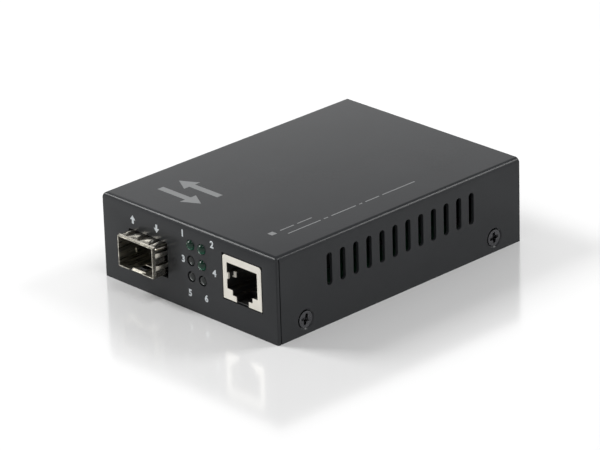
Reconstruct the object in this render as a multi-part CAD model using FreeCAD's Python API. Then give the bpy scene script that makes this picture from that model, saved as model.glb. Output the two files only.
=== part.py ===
import FreeCAD, Part
import math
import os

# Desktop fibre media converter: a folded steel box that joins a copper network port to a
# plug-in fibre module. Millimetres. The origin is the middle of the bottom face, X runs to the
# right across the front panel, the front panel faces -Y, and Z is up. Small round pieces and
# holes are turned in flats, which keeps their meshes light. Bends and rounded corners are true rounds.

Vec = FreeCAD.Vector
AXIS_X = Vec(1, 0, 0)
AXIS_Y = Vec(0, 1, 0)
AXIS_Z = Vec(0, 0, 1)
NEAR = 1e-4                   # two coordinates closer than this are the same
OVER = 1.0                    # how far a cutting tool runs past the wall that it cuts
FINE_SIDES = 16               # flats round a small turned piece that shows outside
PLAIN_SIDES = 10              # flats round one that is inside

# ---- Casing ------------------------------------------------------------------------------
width = 71.0
depth = 97.0
height = 26.0
cover_sheet = 1.0             # steel of the cover: front panel, top and both sides in one piece
tray_sheet = 1.0              # steel of the tray: floor, low flanges and rear wall in one piece
bend_radius = 0.5             # inside radius of every bend in both sheets
panel_edge_radius = 0.35      # rolled edge on the front panel's two upright ends
seam_width = 0.2              # slit between each end of the front panel and the side wall
nest_gap = 0.1                # between the tray and the cover around it
rear_inset = 0.3              # the rear wall stands this far inside the cover's rear edges
tray_side_height = 8.4        # top of the tray's side flanges
tray_lip_height = 5.4         # top of the tray's front lip
corner_notch = 2.5            # each flange ends this far from the next one
rear_shelf_depth = 6.0        # shelf bent forward from the top of the rear wall
rear_shelf_inset = 4.0        # the shelf is this much shorter than the rear wall at each end

# ---- Side vents --------------------------------------------------------------------------
vent_count = 12
vent_pitch = 5.15
vent_width = 2.1
vent_length = 9.8
vent_z = 16.5                 # height of the row's middle line
vent_end_flats = 4            # flats round each end of a vent

# ---- Cover screws: countersunk, two on each side -------------------------------------------
cover_screw_end = 10.7         # from the casing's front and rear
cover_screw_z = 4.5
thread_radius = 1.5
thread_gap = 0.05             # between a screw's shank and its tapped hole
cover_head_radius = 2.85
countersink_radius = 3.15     # mouth of the 90 degree countersink in the cover
cover_screw_length = 5.0
seat_gap = 0.02               # between a cone and its countersink
boss_radius = 2.4             # collar drawn inwards from the flange round each tapped hole
boss_length = 1.0
cross_span = 2.7              # cross recess, tip to tip
cross_width = 0.75
cross_depth = 1.0

# ---- Circuit board -------------------------------------------------------------------------
board_top = 8.2               # height of the face that carries the parts
board_thickness = 1.6
board_edge_gap = 0.5          # board to panel, to rear wall, to screw bosses and to the collar
board_hole_radius = 1.65
standoff_side = 3.4           # pillars' middles from the board's edges
standoff_front = 21.0
standoff_rear = 15.7
standoff_radius = 2.5         # to the six corners
standoff_sides = 6
board_screw_length = 6.0
board_head_radius = 2.7
board_head_height = 1.8
board_head_bevel = 0.6
pin_gap = 0.1                 # round a pin in its hole in the board
pin_tail = 1.2                # soldered tails reach this far below the board

# ---- Fibre module cage ---------------------------------------------------------------------
cage_side = 18.9              # its middle from the casing's left side
cage_width = 14.4
cage_height = 9.3
cage_length = 48.7
cage_proud = 5.0              # the mouth stands this far in front of the panel
cage_sheet = 0.25
cage_slip = 0.03              # between the cage's floor and its walls
cutout_side_gap = 0.8         # panel cut-out to cage, left and right
cutout_top_gap = 0.4
cutout_bottom_gap = 1.15
cutout_corner_radius = 0.5
floor_ear_length = 2.0        # ears of the floor that lock into windows in the walls
floor_ear_pitch = 11.0
cage_pin_width = 0.6
cage_pin_pitch = 14.0
cage_row_start = 12.0         # first ear and first pin, behind the mouth
cage_row_count = 3
pin_row_shift = 4.0           # pins stand this far behind the ears

# Spring collar that bridges from the cage to the edge of the panel's cut-out
collar_sheet = 0.15
collar_band = 1.0             # solid band behind the mouth, before the fingers start
collar_touch = 0.05           # fingers stop this short of the cut-out's edge
finger_slit = 0.4
finger_corner = 0.35          # free width at each corner of the collar
finger_pitch = 4.7            # slits along the top
side_slit_first = 1.6         # first slit on each side, below the top face
side_slit_pitch = 3.8
finger_tail = 2.4             # fingers run this far behind the panel
finger_mid_reach = 0.45       # at this share of the way to the panel's edge
finger_mid_rise = 0.6         # a finger has made this share of its rise

# Latch tongue cut out of the cage's floor
tongue_width = 5.2
tongue_slit = 0.35
tongue_length = 10.0
tongue_set_back = 0.7         # its tip lies this far behind the mouth
tongue_dip = 0.35             # the tip is bent down this far
tongue_lead = 0.7             # length of the bent tip
latch_window = 3.0            # square window that holds a module's latch

# Edge connector at the cage's far end
host_width = 11.8
host_height = 5.9
host_depth = 8.4
host_bevel = 1.2              # upper front edge
host_rear_gap = 0.4           # connector to the cage's rear wall
host_slot_width = 9.2
host_slot_height = 1.9
host_slot_depth = 5.6
host_slot_z = 2.4             # bottom of the slot above the board
host_contact_count = 10       # in each of the two rows
host_contact_pitch = 0.8
host_contact_width = 0.3
host_contact_thickness = 0.2
vent_hole_radius = 0.9        # round holes in the cage's roof
vent_hole_pitch = 3.4
vent_hole_columns = 2
vent_hole_rows = 3
vent_hole_start = 14.0        # first row, behind the mouth

# ---- Copper network jack -------------------------------------------------------------------
jack_side = 13.7              # its middle from the casing's right side
jack_width = 15.3
jack_height = 13.25
jack_depth = 18.0
jack_proud = 0.1
jack_cutout_gap = 0.15
jack_chamfer = 0.6            # the two upper corners of its face
bay_width = 12.1              # the opening that takes the plug's body
bay_height = 7.9
bay_top_wall = 2.15
bay_depth = 11.0
latch_step_width = 7.9        # first, wide step of the latch notch
latch_step_height = 1.55
latch_slot_width = 4.8        # second, narrow step, open at the bottom
latch_slot_depth = 6.0
bay_nub = 0.5                 # ribs on the side walls that centre the plug
bay_nub_height = 1.5
bay_nub_length = 6.0
bay_nub_set_back = 0.7
bay_nub_z = 6.6               # bottom of the ribs above the board
peg_radius = 1.6
peg_spacing = 11.4
peg_set_back = 8.6
carrier_gap = 0.1             # contact carrier to the walls of the bay
carrier_depth = 4.4
carrier_floor = 1.0           # thickness of the housing under the carrier
wire_count = 8
wire_pitch = 1.02
wire_size = 0.35
wire_free_length = 7.2        # from the front bend back to the free end, level
wire_drop = 2.9               # how far the free end hangs below the bend
wire_front_gap = 2.2          # front bend behind the jack's face
wire_row_step = 2.54          # tails stand in two rows

# ---- Indicator lamps -----------------------------------------------------------------------
lamp_columns = 2
lamp_rows = 3
lamp_jack = 20.7              # left column from the network jack's middle
lamp_pitch_x = 4.55
lamp_top_z = 20.1
lamp_pitch_z = 4.8
lamp_radius = 1.5
lamp_flange_radius = 1.9
lamp_flange = 1.0
lamp_length = 5.3
lamp_sides = 12
lamp_nose = 0.12              # flat at the tip of the dome, as a share of the radius
lamp_dome_steps = 3           # rings of flats in the dome
lamp_hole_gap = 0.1           # lamp to its hole in the panel
lamp_bore_gap = 0.05          # lamp to its bore in the holder
lamp_proud = 1.1              # domes that stand out of the panel
lamp_recess = 0.15            # domes that end inside their holes
holder_width = 4.35
holder_depth = 5.4
holder_top_wall = 2.3         # holder above the middle of the top lamp
holder_panel_gap = 0.3
lead_size = 0.45
lead_spacing = 2.54
lead_first_row = 0.9          # nearest leads behind the holder
lead_row_step = 1.5

# ---- Power inlet on the rear wall ----------------------------------------------------------
inlet_side = 15.5             # its middle from the casing's left side
inlet_width = 9.0
inlet_height = 11.0
inlet_depth = 14.0
inlet_flange = 3.4            # full-size face block; behind it the body is arched
inlet_cutout_gap = 0.15
inlet_mouth_radius = 3.15
inlet_mouth_depth = 9.6
inlet_axis_z = 6.5            # middle of the mouth above the board
inlet_pin_radius = 1.05
inlet_pin_gap = 0.02
inlet_pin_length = 8.8        # free length
inlet_pin_root = 2.6          # held in the body behind the mouth
inlet_pin_bevel = 0.5
inlet_mouth_sides = 24
inlet_spring_sheet = 0.3
inlet_spring_width = 2.0
inlet_spring_rise = 0.6
inlet_spring_set_back = 1.7   # its free end behind the face
inlet_side_set_back = 4.0     # side terminal behind the face block
inlet_terminal_width = 2.0
inlet_terminal_sheet = 0.4

# ---- Parts on the board --------------------------------------------------------------------
chip_side = 12.0
chip_height = 0.9
chip_x = 4.0
chip_y = 6.0
chip_bevel = 0.2
chip_dot_radius = 0.75        # dimple that marks the first pin
chip_dot_inset = 1.5
chip_dot_depth = 0.2
memory_length = 4.9
memory_width = 3.9
memory_height = 1.5
memory_feet = 4               # on each long side
memory_foot_pitch = 1.27
memory_foot_width = 0.4
memory_gap = 6.55             # beside the chip
memory_y = 4.0
magnetics_length = 15.4
magnetics_width = 11.6
magnetics_height = 5.8
magnetics_aside = 7.8         # towards the lamps from the jack's middle
magnetics_gap = 6.8           # behind the jack
magnetics_feet = 6            # on each long side
magnetics_foot_pitch = 2.4
magnetics_foot_width = 0.6
foot_sheet = 0.25             # gull-wing feet
foot_reach = 1.1
foot_knee = 0.5               # a foot bends down this far outside its package
foot_rise = 0.8
crystal_length = 11.2
crystal_width = 4.6
crystal_height = 3.6
crystal_sides = 12            # a multiple of four, so that the long sides are flat
crystal_plate = 0.6           # thickness of the base plate
crystal_rim = 0.35            # base plate outside the can
crystal_gap = 5.7             # behind the chip
inductor_side = 7.3
inductor_height = 4.2
inductor_corner = 1.2
inductor_core_radius = 2.8
inductor_groove = 0.3         # ring between the core and the shield
inductor_groove_depth = 0.8
inductor_core_sunk = 0.2
inductor_aside = 5.85         # inlet to inductor
inductor_rear = 10.7          # its middle from the board's rear edge
can_radius = 4.0
can_height = 10.2
can_base = 8.4
can_base_height = 0.9
can_base_corner = 1.4         # two bevelled corners of the base
can_chamfer = 0.4
can_inlet_gap = 4.2           # first can in front of the inlet
can_inductor_gap = 4.0        # second can beside the inductor
regulator_length = 6.5
regulator_width = 3.6
regulator_height = 1.7
regulator_tab_width = 3.2
regulator_feet = 3
regulator_foot_pitch = 2.3
regulator_foot_width = 0.7
regulator_aside = 3.55        # first capacitor can's base to regulator
diode_length = 4.4
diode_width = 2.6
diode_height = 2.2
diode_bevel = 0.35
diode_tab_width = 1.4
diode_tab_reach = 0.8         # out from under each end, and as far in
diode_gap = 6.3               # first capacitor can's base to diode
small_length = 2.0            # chip resistors and chip capacitors
small_width = 1.25
small_height = 0.6
resistor_pitch = 2.25
resistor_set_back = 3.2       # middle of the row behind the last lamp leads
resistor_aside = 1.0          # and this far right of midway between the cage and the jack
capacitor_pitch = 3.2
capacitor_count = 4           # on each of two sides of the chip
capacitor_gap = 1.0           # chip to capacitor

# ---- Sizes and places that follow ----------------------------------------------------------
front_y = -depth / 2
rear_y = depth / 2
side_x = width / 2
panel_back_y = front_y + cover_sheet
cover_bend = bend_radius + cover_sheet
tray_bend = bend_radius + tray_sheet
roof_inside_z = height - cover_sheet

tray_side_x = side_x - cover_sheet - nest_gap
tray_front_y = panel_back_y + nest_gap
tray_rear_y = rear_y - rear_inset
tray_top_z = roof_inside_z - nest_gap
rear_wall_inside_y = tray_rear_y - tray_sheet

board_bottom = board_top - board_thickness
cage_x = cage_side - side_x
jack_x = side_x - jack_side
lamp_left_x = jack_x - lamp_jack
inlet_x = inlet_side - side_x

board_half_x = tray_side_x - tray_sheet - boss_length - board_edge_gap
board_front_y = panel_back_y + board_edge_gap
board_rear_y = rear_wall_inside_y - board_edge_gap
tail_z = board_bottom - pin_tail

cage_mouth_y = front_y - cage_proud
cage_rear_y = cage_mouth_y + cage_length
cage_left_x = cage_x - cage_width / 2
cage_right_x = cage_x + cage_width / 2
resistor_row_x = (cage_right_x + jack_x - jack_width / 2) / 2 + resistor_aside
cage_top_z = board_top + cage_height
host_rear_y = cage_rear_y - cage_sheet - host_rear_gap
host_front_y = host_rear_y - host_depth

jack_face_y = front_y - jack_proud
jack_rear_y = jack_face_y + jack_depth
jack_top_z = board_top + jack_height
bay_top_z = jack_top_z - bay_top_wall
bay_bottom_z = bay_top_z - bay_height
carrier_rear_y = jack_face_y + bay_depth + carrier_depth
wire_run_z = bay_top_z - carrier_gap - wire_size / 2

holder_front_y = panel_back_y + holder_panel_gap
holder_rear_y = holder_front_y + holder_depth

inlet_face_y = tray_rear_y
inlet_front_y = inlet_face_y - inlet_depth
inlet_axis = board_top + inlet_axis_z
inlet_mouth_end_y = inlet_face_y - inlet_mouth_depth

can_y = inlet_front_y - can_inlet_gap - can_base / 2
inductor_x = inlet_x + inlet_width / 2 + inductor_aside + inductor_side / 2
inductor_y = board_rear_y - inductor_rear
rear_can_x = inductor_x + inductor_side / 2 + can_inductor_gap + can_base / 2
magnetics_x = jack_x - magnetics_aside
magnetics_y = jack_rear_y + magnetics_gap + magnetics_width / 2
memory_x = chip_x + chip_side / 2 + memory_gap + memory_length / 2
crystal_y = chip_y + chip_side / 2 + crystal_gap + crystal_width / 2
regulator_x = inlet_x + can_base / 2 + regulator_aside + regulator_length / 2
diode_y = can_y - can_base / 2 - diode_gap - diode_width / 2


# ---- Helpers -------------------------------------------------------------------------------
def block(x_from, x_to, y_from, y_to, z_from, z_to):
    """A box between two opposite corners."""
    return Part.makeBox(x_to - x_from, y_to - y_from, z_to - z_from, Vec(x_from, y_from, z_from))


def rod(radius, start, direction, length):
    """A true round bar from a point along a direction."""
    return Part.makeCylinder(radius, length, start, direction)


def turned(profile, sides, start, direction, outside=False):
    """A turned piece in flats: rings (radius, distance) along a direction from a start point.

    The corners of each ring lie on its circle, or the middles of its flats do for a hole's tool.
    """
    grow = 1 / math.cos(math.pi / sides) if outside else 1
    rings = []
    for radius, distance in profile:
        angles = [2 * math.pi * (index + 0.5) / sides for index in range(sides)]
        rings.append([Vec(radius * grow * math.cos(a), radius * grow * math.sin(a), distance)
                      for a in angles])
    faces = [Part.Face(Part.makePolygon(ring + ring[:1])) for ring in (rings[0], rings[-1])]
    for low, high in zip(rings, rings[1:]):
        for index in range(sides):
            after = (index + 1) % sides
            corners = [low[index], low[after], high[after], high[index], low[index]]
            faces.append(Part.Face(Part.makePolygon(corners)))
    solid = Part.Solid(Part.Shell(faces))
    if solid.Volume < 0:
        solid.reverse()
    solid.Placement = FreeCAD.Placement(start, FreeCAD.Rotation(AXIS_Z, direction))
    return solid


def bar(radius, start, direction, length, sides=PLAIN_SIDES):
    """A small round bar in flats."""
    return turned([(radius, 0), (radius, length)], sides, start, direction)


def hole(radius, start, direction, length, sides=PLAIN_SIDES):
    """The tool for a small round hole in flats, never narrower than its radius."""
    return turned([(radius, 0), (radius, length)], sides, start, direction, outside=True)


def lies_at(edge, x=None, y=None, z=None):
    """True where the whole edge has each coordinate that is given."""
    box = edge.BoundBox
    spans = ((x, box.XMin, box.XMax), (y, box.YMin, box.YMax), (z, box.ZMin, box.ZMax))
    return all(at is None or (abs(low - at) < NEAR and abs(high - at) < NEAR)
               for at, low, high in spans)


def fillet_at(shape, radius, *places):
    """Round each edge that lies at one of the places, given as dicts of coordinates."""
    chosen = [edge for edge in shape.Edges if any(lies_at(edge, **place) for place in places)]
    return shape.makeFillet(radius, chosen)


def chamfer_at(shape, size, *places):
    """Bevel each edge that lies at one of the places."""
    chosen = [edge for edge in shape.Edges if any(lies_at(edge, **place) for place in places)]
    return shape.makeChamfer(size, chosen)


def prism(points, sweep):
    """A closed outline of straight sides, extruded."""
    return Part.Face(Part.makePolygon(points + points[:1])).extrude(sweep)


def fuse_all(shapes):
    """One solid from touching or overlapping pieces."""
    return shapes[0].multiFuse(shapes[1:]).removeSplitter()


def cut_all(shape, tools):
    """Take every tool out of the shape."""
    return shape.cut(Part.makeCompound(tools))


def spread(count, pitch):
    """Offsets of evenly pitched places about their middle."""
    return [(index - (count - 1) / 2) * pitch for index in range(count)]


def upright_slot(y, z, slot_width, slot_length, x_from, x_to):
    """A round-ended upright slot as a tool that runs along X."""
    radius = slot_width / 2
    half = slot_length / 2 - radius
    outline = []
    for end, first in ((half, 0), (-half, math.pi)):
        for index in range(vent_end_flats + 1):
            angle = first + math.pi * index / vent_end_flats
            outline.append(Vec(x_from, y + radius * math.cos(angle),
                               z + end + radius * math.sin(angle)))
    return prism(outline, AXIS_X * (x_to - x_from))


def bent_wire(points, size, x):
    """A square wire that runs through points (y, z) at one x, with mitred corners."""
    runs = []
    for (y1, z1), (y2, z2) in zip(points, points[1:]):
        run = Vec(0, y2 - y1, z2 - z1)
        run.normalize()
        runs.append(run)
    left = []
    right = []
    for index, (y, z) in enumerate(points):
        before = runs[max(index - 1, 0)]
        after = runs[min(index, len(runs) - 1)]
        mitre = Vec(0, -before.z - after.z, before.y + after.y)
        mitre = mitre * (size / (1 + before.dot(after)) / 2)
        corner = Vec(x - size / 2, y, z)
        left.append(corner + mitre)
        right.append(corner - mitre)
    return prism(left + right[::-1], AXIS_X * size)


def gull_feet(body_width, count, pitch, foot_width):
    """Two rows of bent feet along the long sides of a package centred on the board's face."""
    feet = []
    half = body_width / 2
    outline = [
        Vec(0, 0, foot_rise),
        Vec(0, half + foot_knee, foot_rise),
        Vec(0, half + foot_knee, foot_sheet),
        Vec(0, half + foot_reach, foot_sheet),
        Vec(0, half + foot_reach, 0),
        Vec(0, half + foot_knee - foot_sheet, 0),
        Vec(0, half + foot_knee - foot_sheet, foot_rise - foot_sheet),
        Vec(0, 0, foot_rise - foot_sheet),
    ]
    for offset in spread(count, pitch):
        foot = prism(outline, AXIS_X * foot_width)
        foot.translate(Vec(offset - foot_width / 2, 0, 0))
        feet.append(foot)
        other = foot.copy()
        other.rotate(Vec(0, 0, 0), AXIS_Z, 180)
        feet.append(other)
    return feet


# ---- Shared places -------------------------------------------------------------------------
def lamp_places():
    """Column, row, x and z of each lamp, row by row from the top."""
    return [(column, row, lamp_left_x + column * lamp_pitch_x, lamp_top_z - row * lamp_pitch_z)
            for row in range(lamp_rows) for column in range(lamp_columns)]


def lamp_tip_y(column, row):
    """Both top lamps and the right one in the middle row stand out, the others don't."""
    if row == 0 or (row == 1 and column == 1):
        return front_y - lamp_proud
    return front_y + lamp_recess


def lead_row_y(row):
    """The higher a lamp is, the further back its leads go down to the board."""
    return holder_rear_y + lead_first_row + (lamp_rows - 1 - row) * lead_row_step


def board_screw_spots():
    """Middles of the board's four screws and pillars."""
    x = board_half_x - standoff_side
    return [(side * x, y) for side in (-1, 1)
            for y in (board_front_y + standoff_front, board_rear_y - standoff_rear)]


def cover_screw_spots():
    """Side (-1 or 1) and y of each cover screw."""
    return [(side, y) for side in (-1, 1) for y in (front_y + cover_screw_end, rear_y - cover_screw_end)]


def wire_tails():
    """x and tail y of each contact wire of the network jack."""
    first = carrier_rear_y + wire_size / 2 + seat_gap
    return [(jack_x + offset, first + (index % 2) * wire_row_step)
            for index, offset in enumerate(spread(wire_count, wire_pitch))]


def jack_peg_spots():
    return [(jack_x + side * peg_spacing / 2, jack_face_y + peg_set_back) for side in (-1, 1)]


def cage_ear_rows():
    """Middles along Y of the floor's ears and of the windows that they lock into."""
    return [cage_mouth_y + cage_row_start + index * floor_ear_pitch
            for index in range(cage_row_count)]


def cage_pin_rows():
    """Middles along Y of the cage's pins."""
    return [cage_mouth_y + cage_row_start + pin_row_shift + index * cage_pin_pitch
            for index in range(cage_row_count)]


def inlet_terminals():
    """Boxes (x_from, x_to, y_from, y_to) of the two power terminals where they pass the board."""
    half = inlet_terminal_width / 2
    sheet = inlet_terminal_sheet
    rear = inlet_front_y + sheet
    middle = inlet_face_y - inlet_flange - inlet_side_set_back
    return [(inlet_x - half, inlet_x + half, inlet_front_y, rear),
            (inlet_x - half, inlet_x + half, middle - sheet, middle)]


# ---- Casing --------------------------------------------------------------------------------
def countersink_tool(side, y):
    """Countersink and tapped hole of a cover screw, cut through cover and flange together."""
    cone_depth = countersink_radius - thread_radius
    mouth = Vec(side * side_x, y, cover_screw_z)
    inwards = AXIS_X * -side
    profile = [(countersink_radius + OVER, -OVER), (thread_radius, cone_depth),
               (thread_radius, cover_screw_length + OVER)]
    return turned(profile, FINE_SIDES, mouth, inwards, outside=True)


def cage_cutout():
    """Tool for the round-cornered hole in the front panel that the cage and its collar fill."""
    x_from = cage_left_x - cutout_side_gap
    x_to = cage_right_x + cutout_side_gap
    z_from = board_top - cutout_bottom_gap
    z_to = cage_top_z + cutout_top_gap
    tool = block(x_from, x_to, front_y - OVER, panel_back_y + OVER, z_from, z_to)
    corners = [dict(x=x, z=z) for x in (x_from, x_to) for z in (z_from, z_to)]
    return fillet_at(tool, cutout_corner_radius, *corners)


def top_cover():
    """Front panel, top and both sides, folded from one sheet and open at the rear and below."""
    shell = block(-side_x, side_x, front_y, rear_y, 0, height)
    shell = fillet_at(shell, cover_bend, dict(y=front_y, z=height),
                      dict(x=-side_x, z=height), dict(x=side_x, z=height))
    shell = fillet_at(shell, panel_edge_radius, dict(x=-side_x, y=front_y), dict(x=side_x, y=front_y))
    inner_x = side_x - cover_sheet
    inside = block(-inner_x, inner_x, panel_back_y, rear_y + OVER, -OVER, roof_inside_z)
    inside = fillet_at(inside, bend_radius, dict(y=panel_back_y, z=roof_inside_z),
                       dict(x=-inner_x, z=roof_inside_z), dict(x=inner_x, z=roof_inside_z))
    tools = [inside, cage_cutout()]
    seam_top = height - cover_bend - seam_width
    for side in (-1, 1):
        low, high = sorted((side * (inner_x - seam_width), side * (side_x + OVER)))
        tools.append(block(low, high, panel_back_y, panel_back_y + seam_width, -OVER, seam_top))
    jack_half = jack_width / 2 + jack_cutout_gap
    tools.append(block(jack_x - jack_half, jack_x + jack_half, front_y - OVER, panel_back_y + OVER,
                       board_top - jack_cutout_gap, jack_top_z + jack_cutout_gap))
    for _, _, x, z in lamp_places():
        tools.append(hole(lamp_radius + lamp_hole_gap, Vec(x, front_y - OVER, z), AXIS_Y,
                          cover_sheet + 2 * OVER, FINE_SIDES))
    for offset in spread(vent_count, vent_pitch):
        tools.append(upright_slot(offset, vent_z, vent_width, vent_length,
                                  -side_x - OVER, side_x + OVER))
    tools += [countersink_tool(side, y) for side, y in cover_screw_spots()]
    return cut_all(shell, tools)


def base_tray():
    """Floor with side flanges, front lip and rear wall, which closes the cover below and behind."""
    tray = block(-tray_side_x, tray_side_x, tray_front_y, tray_rear_y, 0, tray_top_z)
    tray = fillet_at(tray, tray_bend, dict(x=-tray_side_x, z=0), dict(x=tray_side_x, z=0),
                     dict(y=tray_front_y, z=0), dict(y=tray_rear_y, z=0),
                     dict(y=tray_rear_y, z=tray_top_z))
    inner_x = tray_side_x - tray_sheet
    inner_front_y = tray_front_y + tray_sheet
    inside = block(-inner_x, inner_x, inner_front_y, rear_wall_inside_y, tray_sheet, tray_top_z + OVER)
    inside = fillet_at(inside, bend_radius, dict(x=-inner_x, z=tray_sheet),
                       dict(x=inner_x, z=tray_sheet), dict(y=inner_front_y, z=tray_sheet),
                       dict(y=rear_wall_inside_y, z=tray_sheet))
    above = tray_top_z + OVER
    trims = [
        inside,
        block(-side_x, side_x, tray_front_y - OVER, inner_front_y + OVER, tray_lip_height, above),
        block(-side_x, side_x, tray_front_y - OVER, rear_wall_inside_y, tray_side_height, above),
    ]
    for side in (-1, 1):
        low, high = sorted((side * (tray_side_x - corner_notch), side * (tray_side_x + OVER)))
        trims.append(block(low, high, tray_front_y - OVER, tray_front_y + corner_notch, -OVER, above))
        low, high = sorted((side * inner_x, side * (tray_side_x + OVER)))
        trims.append(block(low, high, rear_wall_inside_y - corner_notch, rear_wall_inside_y,
                           -OVER, tray_side_height + OVER))
    tray = cut_all(tray, trims)
    shelf_x = tray_side_x - rear_shelf_inset
    shelf = block(-shelf_x, shelf_x, tray_rear_y - rear_shelf_depth, tray_rear_y - tray_bend,
                  tray_top_z - tray_sheet, tray_top_z)
    elbow = block(-shelf_x, shelf_x, rear_wall_inside_y - bend_radius, rear_wall_inside_y,
                  tray_top_z - tray_bend, tray_top_z)
    elbow = elbow.cut(rod(bend_radius, Vec(-side_x, tray_rear_y - tray_bend, tray_top_z - tray_bend),
                          AXIS_X, width))
    bosses = [bar(boss_radius, Vec(side * inner_x, y, cover_screw_z), AXIS_X * -side, boss_length)
              for side, y in cover_screw_spots()]
    tray = fuse_all([tray, shelf, elbow] + bosses)
    inlet_half = inlet_width / 2 + inlet_cutout_gap
    holes = [countersink_tool(side, y) for side, y in cover_screw_spots()]
    holes.append(block(inlet_x - inlet_half, inlet_x + inlet_half, rear_wall_inside_y - OVER,
                       tray_rear_y + OVER, board_top - inlet_cutout_gap,
                       board_top + inlet_height + inlet_cutout_gap))
    return cut_all(tray, holes)


def cross_recess(top_z):
    """The cross that a screwdriver fits, cut down from a head's top face."""
    long = cross_span / 2
    short = cross_width / 2
    return [block(-long, long, -short, short, top_z - cross_depth, top_z + OVER),
            block(-short, short, -long, long, top_z - cross_depth, top_z + OVER)]


def cover_screws():
    """Four countersunk screws, heads just below the cover's surface."""
    shank = thread_radius - thread_gap
    profile = [(cover_head_radius, 0), (shank, cover_head_radius - shank),
               (shank, cover_screw_length)]
    screw = turned(profile, FINE_SIDES, Vec(0, 0, 0), AXIS_Z * -1)
    screw = cut_all(screw, cross_recess(0))
    sunk = countersink_radius - cover_head_radius - seat_gap
    placed = []
    for side, y in cover_screw_spots():
        copy = screw.copy()
        copy.rotate(Vec(0, 0, 0), AXIS_Y, side * 90)
        copy.translate(Vec(side * (side_x - sunk), y, cover_screw_z))
        placed.append(copy)
    return Part.makeCompound(placed)


# ---- Board and its fixings -----------------------------------------------------------------
def main_board():
    """The circuit board, with its screw holes and the holes for every through pin."""
    board = block(-board_half_x, board_half_x, board_front_y, board_rear_y, board_bottom, board_top)
    low = board_bottom - OVER
    high = board_top + OVER
    holes = [hole(board_hole_radius, Vec(x, y, low), AXIS_Z, high - low)
             for x, y in board_screw_spots()]
    holes += [hole(peg_radius + pin_gap, Vec(x, y, low), AXIS_Z, high - low)
              for x, y in jack_peg_spots()]
    collar_half = cage_width / 2 + collar_sheet + board_edge_gap
    holes.append(block(cage_x - collar_half, cage_x + collar_half, board_front_y - OVER,
                       panel_back_y + finger_tail + board_edge_gap, low, high))
    pins = [(x - wire_size / 2, x + wire_size / 2, y - wire_size / 2, y + wire_size / 2)
            for x, y in wire_tails()]
    for _, row, x, _ in lamp_places():
        y = lead_row_y(row)
        for side in (-1, 1):
            lead_x = x + side * lead_spacing / 2
            pins.append((lead_x - lead_size / 2, lead_x + lead_size / 2,
                         y - lead_size / 2, y + lead_size / 2))
    for y in cage_pin_rows():
        for x_from, x_to in ((cage_left_x, cage_left_x + cage_sheet),
                             (cage_right_x - cage_sheet, cage_right_x)):
            pins.append((x_from, x_to, y - cage_pin_width / 2, y + cage_pin_width / 2))
    pins += inlet_terminals()
    for x_from, x_to, y_from, y_to in pins:
        holes.append(block(x_from - pin_gap, x_to + pin_gap, y_from - pin_gap, y_to + pin_gap,
                           low, high))
    return cut_all(board, holes)


def board_standoffs():
    """Six-sided tapped pillars between the tray's floor and the board."""
    pillars = []
    length = board_bottom - tray_sheet
    for x, y in board_screw_spots():
        pillar = bar(standoff_radius, Vec(x, y, tray_sheet), AXIS_Z, length, standoff_sides)
        pillars.append(pillar.cut(hole(thread_radius, Vec(x, y, tray_sheet), AXIS_Z, length)))
    return Part.makeCompound(pillars)


def board_screws():
    """Pan-head screws that hold the board down on its pillars."""
    shank = thread_radius - thread_gap
    profile = [(shank, -board_screw_length), (shank, 0), (board_head_radius, 0),
               (board_head_radius, board_head_height - board_head_bevel),
               (board_head_radius - board_head_bevel, board_head_height)]
    screw = turned(profile, PLAIN_SIDES, Vec(0, 0, 0), AXIS_Z)
    screw = cut_all(screw, cross_recess(board_head_height))
    placed = []
    for x, y in board_screw_spots():
        copy = screw.copy()
        copy.translate(Vec(x, y, board_top))
        placed.append(copy)
    return Part.makeCompound(placed)


# ---- Fibre module cage ---------------------------------------------------------------------
def module_cage():
    """Thin folded tunnel: roof, two walls with windows and pins, and a rear wall."""
    cage = block(cage_left_x, cage_right_x, cage_mouth_y, cage_rear_y, board_top, cage_top_z)
    inside = block(cage_left_x + cage_sheet, cage_right_x - cage_sheet, cage_mouth_y - OVER,
                   cage_rear_y - cage_sheet, board_top - OVER, cage_top_z - cage_sheet)
    tools = [inside]
    for y in cage_ear_rows():
        half = floor_ear_length / 2 + cage_slip
        tools.append(block(cage_left_x - OVER, cage_right_x + OVER, y - half, y + half,
                           board_top - OVER, board_top + cage_sheet + cage_slip))
    for row in range(vent_hole_rows):
        y = cage_mouth_y + vent_hole_start + row * vent_hole_pitch
        for offset in spread(vent_hole_columns, vent_hole_pitch):
            tools.append(hole(vent_hole_radius, Vec(cage_x + offset, y, cage_top_z - OVER), AXIS_Z,
                              2 * OVER))
    pins = []
    for y in cage_pin_rows():
        for x_from in (cage_left_x, cage_right_x - cage_sheet):
            pins.append(block(x_from, x_from + cage_sheet, y - cage_pin_width / 2,
                              y + cage_pin_width / 2, tail_z, board_top + cage_sheet))
    return fuse_all([cut_all(cage, tools)] + pins)


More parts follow.
